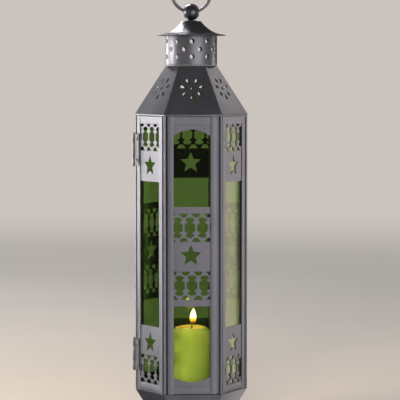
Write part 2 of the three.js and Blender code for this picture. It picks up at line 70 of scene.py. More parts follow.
class Signal:
    """One output socket of a node tree, with arithmetic on single values."""

    def __init__(self, graph: "Graph", socket: bpy.types.NodeSocket) -> None:
        """Args: graph: the tree's writer. socket: the output that this signal reads."""
        self.graph, self.socket = graph, socket

    def _math(self, operation: str, first: Value, second: Value) -> "Signal":
        """Returns the result of one Math node, by its operation and two values."""
        return self.graph.add("ShaderNodeMath", {"operation": operation}, {0: first, 1: second})

    def __add__(self, other: Value) -> "Signal":
        """Returns self + other."""
        return self._math("ADD", self, other)

    __radd__ = __add__

    def __sub__(self, other: Value) -> "Signal":
        """Returns self - other."""
        return self._math("SUBTRACT", self, other)

    def __rsub__(self, other: Value) -> "Signal":
        """Returns other - self."""
        return self._math("SUBTRACT", other, self)

    def __mul__(self, other: Value) -> "Signal":
        """Returns self * other."""
        return self._math("MULTIPLY", self, other)

    __rmul__ = __mul__

    def __truediv__(self, other: Value) -> "Signal":
        """Returns self / other."""
        return self._math("DIVIDE", self, other)

    def __pow__(self, other: Value) -> "Signal":
        """Returns self to the power of other."""
        return self._math("POWER", self, other)

    def clamp(self) -> "Signal":
        """Returns the value held between 0 and 1."""
        return self.graph.add("ShaderNodeClamp", {}, {"Value": self})

    def ramp(self, low: float, high: float) -> "Signal":
        """Returns 0 below low, 1 above high and a smooth rise between them.

        Args:
            low: where the rise starts.
            high: where it ends.
        Returns:
            The eased value.
        """
        inputs = {"Value": self, "From Min": low, "From Max": high}
        return self.graph.add("ShaderNodeMapRange", {"interpolation_type": "SMOOTHSTEP"}, inputs)


class Graph:
    """Writes the nodes of one shader or geometry tree."""

    def __init__(self, tree: bpy.types.NodeTree) -> None:
        """Args: tree: the tree to write in, emptied first."""
        self.tree = tree
        tree.nodes.clear()

    def add(self, kind: str, settings: dict, inputs: dict, output: Union[int, str] = 0) -> Signal:
        """Adds a node of any type.

        Args:
            kind: the node's type.
            settings: its properties, or "stops" for a colour ramp as (place, colour) pairs.
            inputs: socket name or number to a value, a signal or a list of signals.
            output: the socket to return.
        Returns:
            That output.
        """
        node = self.tree.nodes.new(kind)
        for key, value in settings.items():
            if key == "stops":
                self._stops(node.color_ramp, value)
            else:
                setattr(node, key, value)
        for key, value in inputs.items():
            for part in value if isinstance(value, list) else [value]:
                self._feed(node.inputs[key], part)
        return Signal(self, node.outputs[output]) if node.outputs else Signal(self, None)

    def _feed(self, socket: bpy.types.NodeSocket, value: Value) -> None:
        """Links or sets one input.

        Args:
            socket: the input.
            value: a signal to link or a constant to set.
        """
        if isinstance(value, Signal):
            self.tree.links.new(value.socket, socket)
        elif socket.type == "RGBA" and len(value) == 3:
            socket.default_value = (*value, 1.0)
        else:
            socket.default_value = value

    @staticmethod
    def _stops(ramp: bpy.types.ColorRamp, stops: Sequence[tuple[float, Colour]]) -> None:
        """Sets a colour ramp.

        Args:
            ramp: the ramp.
            stops: its places and colours, in order.
        """
        while len(ramp.elements) < len(stops):
            ramp.elements.new(1.0)
        for element, (place, colour) in zip(ramp.elements, stops):
            element.position = place
            element.color = (*colour, 1.0)

    def blend(self, share: Value, first: Value, second: Value) -> Signal:
        """Mixes two colours.

        Args:
            share: how much of the second.
            first: a colour.
            second: a colour.
        Returns:
            The mixed colour.
        """
        pick = {"data_type": "RGBA"}
        colours = [(*c, 1.0) if isinstance(c, tuple) else c for c in (first, second)]
        return self.add("ShaderNodeMix", pick, {0: share, 6: colours[0], 7: colours[1]}, 2)

    def coordinates(self) -> Signal:
        """Returns the piece's own coordinates, in metres."""
        return self.add("ShaderNodeTexCoord", {}, {}, "Object")

    def axis(self, letter: str) -> Signal:
        """Returns one of the piece's own coordinates, in metres; letter is X, Y or Z."""
        return self.add("ShaderNodeSeparateXYZ", {}, {0: self.coordinates()}, letter)

    def off_axis(self) -> Signal:
        """Returns the distance from the piece's own Z axis, in metres."""
        x, y = self.axis("X"), self.axis("Y")
        return (x * x + y * y) ** 0.5

    def grain(self, scale: Point3, detail: float = 2.0, roughness: float = 0.5) -> Signal:
        """Adds a noise on the piece's own coordinates.

        Args:
            scale: bumps per metre along X, Y and Z.
            detail: octaves.
            roughness: weight of the finer octaves.
        Returns:
            A value round 0.5.
        """
        placed = self.add("ShaderNodeMapping", {}, {"Vector": self.coordinates(), "Scale": scale})
        inputs = {"Vector": placed, "Scale": 1.0, "Detail": detail, "Roughness": roughness}
        return self.add("ShaderNodeTexNoise", {}, inputs, 0)

    def bump(self, height: Signal, strength: float, depth: float) -> Signal:
        """Returns a normal from a height.

        Args:
            height: the height signal.
            strength: share of the effect.
            depth: metres from 0 to 1 of the height.
        Returns:
            The normal.
        """
        inputs = {"Height": height, "Strength": strength, "Distance": depth}
        return self.add("ShaderNodeBump", {}, inputs, "Normal")

    def cover(self, surface: Signal) -> None:
        """Ends a material with its surface."""
        self.add("ShaderNodeOutputMaterial", {}, {"Surface": surface})

    def coat(self, inputs: dict) -> None:
        """Ends a material with a Principled surface that has these inputs."""
        self.cover(self.add("ShaderNodeBsdfPrincipled", {}, inputs))


def new_material(name: str) -> tuple[bpy.types.Material, Graph]:
    """Makes an empty material.

    Args:
        name: its name.
    Returns:
        The material and its tree's writer.
    """
    material = bpy.data.materials.new(name)
    material.use_nodes = True
    return material, Graph(material.node_tree)


# ---------------------------------------------------------------- finishes


@dataclass(frozen=True)
class SheetMetal:
    """Satin tinned sheet with fine upright streaks, faint clouding and small marks."""

    name: str
    dark: Colour
    light: Colour
    roughness: float
    streak_scale: Point3 = (700.0, 700.0, 14.0)
    cloud_scale: Point3 = (22.0, 22.0, 14.0)
    mark_scale: Point3 = (260.0, 260.0, 190.0)
    fine_scale: Point3 = (1500.0, 1500.0, 60.0)
    streak_share: float = 0.32
    mark_share: float = 0.15
    cloud_swing: float = 0.10
    streak_swing: float = 0.06
    mark_swing: float = 0.05
    bump_share: float = 0.35
    bump_depth: float = 0.000006

    def material(self) -> bpy.types.Material:
        """Returns the material."""
        material, g = new_material(self.name)
        streak = g.grain(self.streak_scale, 3.0, 0.6)
        cloud = g.grain(self.cloud_scale, 4.0, 0.55)
        marks = g.grain(self.mark_scale, 5.0, 0.7).ramp(0.62, 0.74)
        fine = g.grain(self.fine_scale, 2.0, 0.5)
        tone = (streak * self.streak_share + cloud * (1 - self.streak_share)).ramp(0.34, 0.68)
        swing = (cloud - 0.5) * self.cloud_swing
        roughness = self.roughness + swing + (streak - 0.5) * self.streak_swing + marks * self.mark_swing
        g.coat({
            "Base Color": g.blend(marks * self.mark_share, g.blend(tone, self.dark, self.light), self.dark),
            "Metallic": 1.0,
            "Roughness": roughness.clamp(),
            "Normal": g.bump(streak * 0.6 + fine * 0.4, self.bump_share, self.bump_depth),
        })
        return material


@dataclass(frozen=True)
class TintedGlass:
    """Flat green glass: every face tints what passes, and outer faces mirror more at a glancing look."""

    name: str = "green_glass"
    tint: Colour = (0.56, 0.655, 0.44)
    veil: Colour = (0.97, 0.98, 0.68)
    gloss: float = 0.03
    facing_mirror: float = 0.03
    glance_mirror: float = 1.6
    glance_power: float = 5.0
    wave_scale: Point3 = (22.0, 22.0, 9.0)
    wave_share: float = 0.01

    def material(self) -> bpy.types.Material:
        """Returns the material."""
        material, g = new_material(self.name)
        wave = g.grain(self.wave_scale, 2.0, 0.5)
        through = g.add("ShaderNodeBsdfTransparent", {}, {"Color": self.tint})
        mirror = g.add("ShaderNodeBsdfGlossy", {}, {"Color": self.veil, "Roughness": self.gloss})
        glance = g.add("ShaderNodeLayerWeight", {}, {"Blend": 0.5}, "Facing")
        outer = 1 - g.add("ShaderNodeNewGeometry", {}, {}, "Backfacing")
        rise = glance ** self.glance_power * self.glance_mirror
        share = (rise + self.facing_mirror + wave * self.wave_share) * outer
        g.cover(g.add("ShaderNodeMixShader", {}, {0: share.clamp(), 1: through, 2: mirror}))
        return material


@dataclass(frozen=True)
class Wax:
    """Ivory candle wax with a painted glow near its flame, molten in its pool, and painted shade lower down.
    """

    top: float
    name: str = "candle_wax"
    body: Colour = (0.92, 0.87, 0.62)
    shade: Colour = (0.86, 0.79, 0.50)
    # painted glow: emission colours that stand in for the flame's light in the wax, dim low down and warm at
    # the top
    glow: Colour = (1.0, 0.58, 0.14)
    low_glow: Colour = (0.10, 0.07, 0.02)
    # painted shade: the colour that the wax darkens to lower down
    painted_low_shade: Colour = (0.43, 0.47, 0.38)
    molten: Colour = (0.80, 0.56, 0.32)
    full_shade_below: float = 0.095
    no_shade_above: float = 0.035
    glow_reach: float = 0.05
    glow_strength: float = 0.16
    pool_radius: float = 0.018
    pool_edge: float = 0.003

    def material(self) -> bpy.types.Material:
        """Returns the material."""
        material, g = new_material(self.name)
        mottle = g.grain((120.0, 120.0, 60.0), 4.0, 0.6)
        pores = g.grain((900.0, 900.0, 900.0), 2.0, 0.5)
        height = g.axis("Z")
        colour = g.blend(mottle.ramp(0.4, 0.7), self.body, self.shade)
        # Painted shade: the wax darkens towards its foot.
        unshaded = height.ramp(self.top - self.full_shade_below, self.top - self.no_shade_above)
        inside = 1 - g.off_axis().ramp(self.pool_radius, self.pool_radius + self.pool_edge)
        # Painted glow: the emission grows towards the top, standing in for the flame's light through the wax.
        lit = height.ramp(self.top - self.glow_reach, self.top)
        g.coat({
            "Base Color": g.blend(inside, g.blend(unshaded, self.painted_low_shade, colour), self.molten),
            "Roughness": 0.42 + (mottle - 0.5) * 0.3,
            "Normal": g.bump(mottle * 0.7 + pores * 0.3, 0.3, 0.0006),
            "Subsurface Weight": 0.25,
            "Subsurface Radius": (0.012, 0.008, 0.004),
            "Subsurface Scale": 0.5,
            "Emission Color": g.blend(lit * lit, self.low_glow, self.glow),
            "Emission Strength": self.glow_strength,
        })
        return material


@dataclass(frozen=True)
class Char:
    """A burnt cotton wick, dark with an ash grey fibre and an ember at its tip."""

    base: float
    tip: float
    name: str = "burnt_wick"
    coal: Colour = (0.012, 0.010, 0.009)
    ash: Colour = (0.10, 0.08, 0.06)
    ember: Colour = (1.0, 0.25, 0.05)

    def material(self) -> bpy.types.Material:
        """Returns the material."""
        material, g = new_material(self.name)
        height = g.axis("Z").ramp(self.base, self.tip)
        fibre = g.grain((2500.0, 2500.0, 500.0), 3.0, 0.6)
        g.coat({
            "Base Color": g.blend(fibre * 0.6, self.coal, self.ash),
            "Roughness": 0.85 + fibre * 0.1,
            "Normal": g.bump(fibre, 0.5, 0.0003),
            "Emission Color": g.blend(height.ramp(0.75, 1.0), BLACK, self.ember),
            "Emission Strength": 0.8,
        })
        return material


@dataclass(frozen=True)
class Fire:
    """A candle flame: clear and dim at the root, orange above it, then a pale heart with an orange rim."""

    root: float
    tip: float
    name: str = "flame"
    strength: float = 11.0
    rim: Colour = (0.34, 0.13, 0.012)
    stops: tuple[tuple[float, Colour], ...] = (
        (0.0, (0.004, 0.0015, 0.0003)),
        (0.10, (0.03, 0.009, 0.0008)),
        (0.22, (0.19, 0.07, 0.007)),
        (0.38, (0.45, 0.20, 0.02)),
        (0.50, (1.0, 0.80, 0.60)),
        (0.86, (1.0, 0.82, 0.62)),
        (1.0, (0.7, 0.35, 0.08)),
    )

    def material(self) -> bpy.types.Material:
        """Returns the material."""
        material, g = new_material(self.name)
        flicker = g.grain((180.0, 180.0, 90.0), 2.0, 0.5) - 0.5
        height = ((g.axis("Z") - self.root) / (self.tip - self.root) + flicker * 0.05).clamp()
        heart = g.add("ShaderNodeValToRGB", {"stops": self.stops}, {"Fac": height})
        edge = g.add("ShaderNodeLayerWeight", {}, {"Blend": 0.5}, "Facing")
        g.coat({
            "Base Color": BLACK,
            "Roughness": 1.0,
            "Specular IOR Level": 0.0,
            "Emission Color": g.blend(edge.ramp(0.45, 0.95) * height.ramp(0.2, 0.4), heart, self.rim),
            "Emission Strength": self.strength,
            "Alpha": ((1 - edge.ramp(0.7, 1.0)) * height.ramp(0.0, 0.3)).clamp(),
        })
        return material


@dataclass(frozen=True)
class Seamless:
    """The pale studio floor, which fades out before its own edge."""

    fade_from: float = 1.2
    fade_to: float = 4.5
    name: str = "studio_floor"
    tone: Colour = (0.29, 0.29, 0.29)
    low_share: float = 0.95

    def material(self) -> bpy.types.Material:
        """Returns the material."""
        material, g = new_material(self.name)
        patch = g.grain((1.5, 1.5, 1.5), 3.0, 0.5)
        low = tuple(self.low_share * c for c in self.tone)
        inputs = {"Base Color": g.blend(patch.ramp(0.3, 0.7), low, self.tone), "Roughness": 0.7 + patch * 0.1}
        matte = g.add("ShaderNodeBsdfPrincipled", {}, inputs)
        far = g.off_axis().ramp(self.fade_from, self.fade_to)
        clear = g.add("ShaderNodeBsdfTransparent", {}, {})
        g.cover(g.add("ShaderNodeMixShader", {}, {0: far, 1: matte, 2: clear}))
        return material


class Slot(Enum):
    """The record's material slots."""

    PEWTER = "pewter"
    DARK_PEWTER = "dark_pewter"
    FITTINGS = "steel_fittings"
    GLASS = "green_glass"
    WAX = "wax"
    COTTON = "cotton"


class Body(Enum):
    """The lantern's rigid bodies."""

    LANTERN = "lantern"
    DOOR = "door"
    LATCH = "latch"
    RING = "ring"


# ---------------------------------------------------------------- measures from the frame


@dataclass(frozen=True)
class Extent:
    """A CAD node's box in millimetres."""

    low: Vector
    high: Vector

    @staticmethod
    def of(node: str) -> "Extent":
        """Returns the box of a node by its name."""
        low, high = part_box(node)
        return Extent(low / MM, high / MM)


# ---------------------------------------------------------------- mesh work


def arc(centre: Point2, radius: float, start: float, end: float, steps: int) -> list[Point2]:
    """Points on a circle.

    Args:
        centre: its centre.
        radius: its radius.
        start: first angle in degrees.
        end: last angle in degrees.
        steps: number of steps between them.
    Returns:
        The points, both ends included.
    """
    angles = [math.radians(start + (end - start) * i / steps) for i in range(steps + 1)]
    return [(centre[0] + radius * math.cos(a), centre[1] + radius * math.sin(a)) for a in angles]


def prism(outline: Sequence[Point2], place: Callable[[float, float, float], Point3], start: float, end: float,
          mesh: Union[bmesh.types.BMesh, None] = None) -> bmesh.types.BMesh:
    """A closed prism.

    Args:
        outline: the section's points.
        place: turns section coordinates and a distance into a position.
        start: first end's distance.
        end: other end's distance.
        mesh: where to add it, or none for a new mesh.
    Returns:
        The mesh.
    """
    if mesh is None:
        mesh = bmesh.new()
    rings = [[mesh.verts.new(place(a, b, d)) for a, b in outline] for d in (start, end)]
    count = len(outline)
    for i in range(count):
        j = (i + 1) % count
        mesh.faces.new((rings[0][i], rings[0][j], rings[1][j], rings[1][i]))
    mesh.faces.new(rings[0][::-1])
    mesh.faces.new(rings[1])
    return mesh


def upright(a: float, b: float, d: float) -> Point3:
    """Places a plan section that rises along Z."""
    return (a, b, d)


def lengthwise(a: float, b: float, d: float) -> Point3:
    """Places a section drawn in Y and Z that runs along X."""
    return (d, a, b)


def outward(a: float, b: float, d: float) -> Point3:
    """Places an outline drawn in X and Z that has its thickness along Y."""
    return (a, d, b)


def loops(mesh: bmesh.types.BMesh, rings: Sequence[Sequence[Point3]], closed: bool) -> None:
    """Skins a stack of rings of equal length.

    Args:
        mesh: where to add the skin.
        rings: the rings, where a ring of one point is a pole.
        closed: whether the last ring joins the first.
    """
    made = [[mesh.verts.new(p) for p in ring] for ring in rings]
    pairs = list(zip(made, made[1:])) + ([(made[-1], made[0])] if closed else [])
    for lower, upper in pairs:
        count = max(len(lower), len(upper))
        for i in range(count):
            j = (i + 1) % count
            if len(lower) == 1:
                mesh.faces.new((lower[0], upper[j], upper[i]))
            elif len(upper) == 1:
                mesh.faces.new((lower[i], lower[j], upper[0]))
            else:
                mesh.faces.new((lower[i], lower[j], upper[j], upper[i]))


def skinned(rings: Sequence[Sequence[Point3]], closed: bool = False) -> bmesh.types.BMesh:
    """Returns a new mesh with the skin of a stack of rings."""
    mesh = bmesh.new()
    loops(mesh, rings, closed)
    return mesh


def circle_ring(radius: float, height: float, steps: int) -> list[Point3]:
    """Returns one horizontal ring, or a single point where the radius is nothing."""
    if radius < 1e-6:
        return [(0.0, 0.0, height)]
    angles = [math.tau * i / steps for i in range(steps)]
    return [(radius * math.cos(a), radius * math.sin(a), height) for a in angles]


def hexagon_ring(corner: float, height: float, fold: float = 1.4, steps: int = 4) -> list[Point3]:
    """One hexagonal ring with rounded corners, the first on +X.

    Args:
        corner: axis to the sharp corner.
        height: its height.
        fold: radius of the fold at each corner.
        steps: steps round a fold.
    Returns:
        The ring's points.
    """
    points = []
    centre = corner - fold / math.cos(TURN / 2)
    for k in range(SIDES):
        middle = k * TURN
        for i in range(steps + 1):
            a = middle + TURN * (i / steps - 0.5)
            x = centre * math.cos(middle) + fold * math.cos(a)
            y = centre * math.sin(middle) + fold * math.sin(a)
            points.append((x, y, height))
    return points


def turned(profile: Sequence[Point2], steps: int, closed: bool = False) -> bmesh.types.BMesh:
    """A turned solid round Z.

    Args:
        profile: its (radius, height) points.
        steps: facets round.
        closed: whether the profile closes on itself.
    Returns:
        The mesh.
    """
    return skinned([circle_ring(r, z, steps) for r, z in profile], closed)


def folded(profile: Sequence[Point2]) -> bmesh.types.BMesh:
    """A hexagonal shell from (corner radius, height) points that close on themselves."""
    return skinned([hexagon_ring(r, z) for r, z in profile], True)


def lidded(profile: Sequence[Point2]) -> bmesh.types.BMesh:
    """A hexagonal solid from (corner radius, height) points, closed flat at the first and the last."""
    rings = [hexagon_ring(r, z) for r, z in profile]
    return skinned([[(0.0, 0.0, profile[0][1])], *rings, [(0.0, 0.0, profile[-1][1])]])


def capped(profile: Sequence[Point2]) -> list[Point2]:
    """The same (radius, height) points with the last one moved onto the axis."""
    return [*profile[:-1], (0.0, profile[-1][1])]


def rounded_profile(points: Sequence[Point2], radius: float, steps: int = 3) -> list[Point2]:
    """Rounds every corner of a closed outline.

    Args:
        points: the outline.
        radius: how far the rounding reaches along each edge.
        steps: steps of each rounding.
    Returns:
        The rounded outline.
    """
    result = []
    count = len(points)
    for i, here in enumerate(points):
        corner = Vector(here)
        before, after = Vector(points[i - 1]) - corner, Vector(points[(i + 1) % count]) - corner
        reach = min(radius, before.length * 0.45, after.length * 0.45)
        start, end = corner + before.normalized() * reach, corner + after.normalized() * reach
        for s in range(steps + 1):
            t = s / steps
            p = start * (1 - t) ** 2 + corner * 2 * t * (1 - t) + end * t * t
            result.append((p.x, p.y))
    return result


def curve_through(points: Sequence[Point2], steps: int) -> list[Point2]:
    """A smooth curve through points.

    Args:
        points: the points to pass.
        steps: steps between two of them.
    Returns:
        The curve's points.
    """
    before = Vector(points[0]) * 2 - Vector(points[1])
    after = Vector(points[-1]) * 2 - Vector(points[-2])
    ends = [before, *map(Vector, points), after]
    result = []
    for a, b, c, d in zip(ends, ends[1:], ends[2:], ends[3:]):
        for i in range(steps):
            t = i / steps
            p = b * 2 + (c - a) * t + (a * 2 - b * 5 + c * 4 - d) * t * t + (b * 3 - a - c * 3 + d) * t ** 3
            result.append((p.x / 2, p.y / 2))
    return result + [tuple(points[-1])]


def hoop(inner: float, outer: float, low: float, high: float) -> list[Point2]:
    """The square section of a turned ring, between two radii and two heights."""
    return [(inner, low), (outer, low), (outer, high), (inner, high)]


def polish(data: bpy.types.Mesh) -> None:
    """Shades a mesh smooth and keeps its sharp edges."""
    data.shade_smooth()
    data.set_sharp_from_angle(angle=SMOOTH_ANGLE)


def on_stage(name: str, data: bpy.types.ID) -> bpy.types.Object:
    """Returns a new object in the scene, with this name and data."""
    made = bpy.data.objects.new(name, data)
    bpy.context.scene.collection.objects.link(made)
    return made


def scratch(name: str, mesh: bmesh.types.BMesh, smooth: bool = True) -> bpy.types.Object:
    """Turns a bmesh into an object in millimetres.

    Args:
        name: the object's name.
        mesh: the bmesh, which is freed.
        smooth: whether gentle edges are shaded smooth.
    Returns:
        The object, linked to the scene.
    """
    bmesh.ops.remove_doubles(mesh, verts=mesh.verts, dist=1e-5)
    bmesh.ops.recalc_face_normals(mesh, faces=mesh.faces)
    data = bpy.data.meshes.new(name)
    mesh.to_mesh(data)
    mesh.free()
    if smooth:
        polish(data)
    return on_stage(name, data)


def bake_modifiers(piece: bpy.types.Object, smooth: bool = False) -> None:
    """Replaces a piece's mesh with what its modifiers make, and shades it smooth if asked."""
    evaluated = piece.evaluated_get(bpy.context.evaluated_depsgraph_get())
    made = bpy.data.meshes.new_from_object(evaluated)
    piece.modifiers.clear()
    piece.data = made
    if smooth:
        polish(made)


def drop(*pieces: bpy.types.Object) -> None:
    """Removes helper objects."""
    for piece in pieces:
        bpy.data.objects.remove(piece)


@dataclass
class Workshop:
    """Finishes pieces: places them, gives them their material, hangs them on their body's empty and hides the
    CAD nodes that they stand for.
    """

    materials: dict[Slot, bpy.types.Material]
    # A darker, glossier pewter: the glossiness is its finish, the darkness is painted shade.
    shaded_pewter: bpy.types.Material
    made: int = 0

    def deliver(self, piece: bpy.types.Object, body: Body, slot: Slot, stands_for: Iterable[str] = (),
                turn: float = 0.0, material: Union[bpy.types.Material, None] = None) -> None:
        """Finishes one piece.

        Args:
            piece: the object in millimetres.
            body: the body that it moves with.
            slot: its slot in the record.
            stands_for: the CAD nodes that it replaces.
            turn: turn round Z in radians, for a piece drawn on the front side.
            material: its own material, or none for the slot's.
        """
        piece.data.transform(Matrix.Scale(MM, 4) @ Matrix.Rotation(turn, 4, "Z"))
        piece.data.materials.clear()
        piece.data.materials.append(material or self.materials[slot])
        piece.data.update()
        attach(piece, body.value)
        names = list(stands_for)
        if names:
            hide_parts(*names)
        self.made += 1
        LOG.info("%s: %d faces on %s", piece.name, len(piece.data.polygons), body.value)

    def dress(self, node: str, slot: Slot) -> None:
        """Gives a kept CAD node its finish.

        Args:
            node: the node's name.
            slot: its slot in the record.
        """
        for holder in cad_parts[node].material_slots:
            holder.material = self.materials[slot]
        LOG.info("%s: kept from the frame", node)


@dataclass
class Assembly:
    """One sub-assembly, whose pieces the workshop finishes."""

    shop: Workshop

    def add(self, name: str, mesh: bmesh.types.BMesh, slot: Slot, *nodes: str, body: Body = Body.LANTERN,
            turn: float = 0.0, material: Union[bpy.types.Material, None] = None) -> None:
        """Makes a piece of a mesh and has it finished.

        Args:
            name: the piece's name.
            mesh: its mesh in millimetres.
            slot: its slot in the record.
            nodes: the CAD nodes that it replaces.
            body: the body that it moves with.
            turn: turn round Z in radians, for a piece drawn on the front side.
            material: its own material, or none for the slot's.
        """
        self.shop.deliver(scratch(name, mesh), body, slot, nodes, turn, material)


# ---------------------------------------------------------------- geometry trees


class RepeatTree:
    """A geometry tree with named inputs that works on a piece's mesh; the three below are written on it."""

    def __init__(self, name: str, worked: str, inputs: dict[str, str]) -> None:
        """Makes the tree's inputs and output.

        Args:
            name: the tree's name.
            worked: name of the geometry that it works on.
            inputs: its other inputs' names and kinds, besides the material.
        """
        self.tree = bpy.data.node_groups.new(name, "GeometryNodeTree")
        kinds = {worked: "Geometry", **inputs, "Material": "Material"}
        face = self.tree.interface
        self.keys = {
            key: face.new_socket(key, in_out="INPUT", socket_type=f"NodeSocket{kind}").identifier
            for key, kind in kinds.items()
        }
        face.new_socket(worked, in_out="OUTPUT", socket_type="NodeSocketGeometry")
        self.graph = Graph(self.tree)
        given = self.graph.add("NodeGroupInput", {}, {}).socket.node.outputs
        self.given = {key: Signal(self.graph, given[key]) for key in kinds}

    def _solid(self, name: str) -> Signal:
        """Returns the mesh of the object in a named input."""
        return self.graph.add("GeometryNodeObjectInfo", {}, {"Object": self.given[name]}, "Geometry")

    def _line(self) -> Signal:
        """Returns a row of points from the inputs Count, Start and Step."""
        count, start, step = (self.given[key] for key in ("Count", "Start", "Step"))
        inputs = {"Count": count, "Start Location": start, "Offset": step}
        return self.graph.add("GeometryNodeMeshLine", {"mode": "OFFSET"}, inputs)

    def _real(self, shape: Signal) -> Signal:
        """Returns a shape with its instances realized."""
        return self.graph.add("GeometryNodeRealizeInstances", {}, {"Geometry": shape})

    def _copied(self, points: Signal, shape: Signal, turns: Value = BLACK) -> Signal:
        """Returns realized copies of a shape on points, each with its turn."""
        inputs = {"Points": points, "Instance": shape, "Rotation": turns}
        return self._real(self.graph.add("GeometryNodeInstanceOnPoints", {}, inputs))

    def _joined(self, operation: str, inputs: dict) -> Signal:
        """Returns a boolean of solids, by its operation and meshes."""
        settings = {"operation": operation, "solver": "MANIFOLD"}
        return self.graph.add("GeometryNodeMeshBoolean", settings, inputs)

    def _end(self, shape: Signal) -> None:
        """Ends the tree with a realized shape in its material."""
        inputs = {"Geometry": self._real(shape), "Material": self.given["Material"]}
        self.graph.add("NodeGroupOutput", {}, {0: self.graph.add("GeometryNodeSetMaterial", {}, inputs)})

    def work_on(self, piece: bpy.types.Object, **values: object) -> None:
        """Puts the tree on a piece, with a value for each input by its name in small letters."""
        modifier = piece.modifiers.new(self.tree.name, "NODES")
        modifier.node_group = self.tree
        for name, value in values.items():
            modifier[self.keys[name.capitalize()]] = value


class PunchRow(RepeatTree):
    """Punches a row of equal cut-outs through a plate, each cut short where the reach ends."""

    def __init__(self) -> None:
        """Writes the tree."""
        inputs = {"Punch": "Object", "Reach": "Object", "Count": "Int", "Start": "Vector", "Step": "Vector"}
        super().__init__("punch_row", "Plate", inputs)
        row = self._copied(self._line(), self._solid("Punch"))
        row = self._joined("INTERSECT", {"Mesh 2": [row, self._solid("Reach")]})
        self._end(self._joined("DIFFERENCE", {"Mesh 1": self.given["Plate"], "Mesh 2": row}))


class PunchRound(RepeatTree):
    """Punches a flower of cut-outs, tilted and placed on the front side, and repeats it round the axis."""

    def __init__(self) -> None:
        """Writes the tree."""
        inputs = {"Punch": "Object", "Petals": "Int", "Tilt": "Vector", "Place": "Vector"}
        super().__init__("punch_round", "Shell", {**inputs, "Copies": "Int", "Phase": "Float"})
        given = self.given
        flower = self._spun(self._solid("Punch"), given["Petals"], 0.0)
        placed = {"Geometry": flower, "Translation": given["Place"], "Rotation": given["Tilt"]}
        flower = self.graph.add("GeometryNodeTransform", {}, placed)
        tools = self._spun(flower, given["Copies"], given["Phase"])
        self._end(self._joined("DIFFERENCE", {"Mesh 1": given["Shell"], "Mesh 2": tools}))

    def _spun(self, shape: Signal, count: Signal, phase: Value) -> Signal:
        """Copies a shape round Z.

        Args:
            shape: the geometry.
            count: number of copies.
            phase: the first copy's angle.
        Returns:
            The realized copies.
        """
        points = self.graph.add("GeometryNodePoints", {}, {"Count": count})
        index = self.graph.add("GeometryNodeInputIndex", {}, {})
        turns = self.graph.add("ShaderNodeCombineXYZ", {}, {"Z": index * math.tau / count + phase})
        return self._copied(points, shape, turns)


class StudRow(RepeatTree):
    """Turns one stud, such as a rivet, into a row of them."""

    def __init__(self) -> None:
        """Writes the tree."""
        super().__init__("stud_row", "Stud", {"Count": "Int", "Start": "Vector", "Step": "Vector"})
        self._end(self._copied(self._line(), self.given["Stud"]))


# ---------------------------------------------------------------- the sides


class SideKind(Enum):
    """How a side's sheet is pierced."""

    ARCHED = "a panel at mid height, arched edges above and below"
    BORDERED = "a panel at the top and one at the foot"


@dataclass(frozen=True)
class Side:
    """One of the six sides, by its name in the frame and its turn from the front."""

    name: str
    index: int
    body: Body = Body.LANTERN

    @property
    def turn(self) -> float:
        """Turn from the front side, in radians."""
        return self.index * TURN

    @property
    def kind(self) -> SideKind:
        """Sides take turns."""
        return SideKind.BORDERED if self.index % 2 else SideKind.ARCHED


ALL_SIDES = (
    Side("front", 0),
    Side("right_front", 1),
    Side("right_back", 2),
    Side("back", 3),
    Side("door", 4, Body.DOOR),
    Side("left_front", 5),
)
CORNERS = ("right", "back_right", "back_left", "left", "front_left", "front_right")


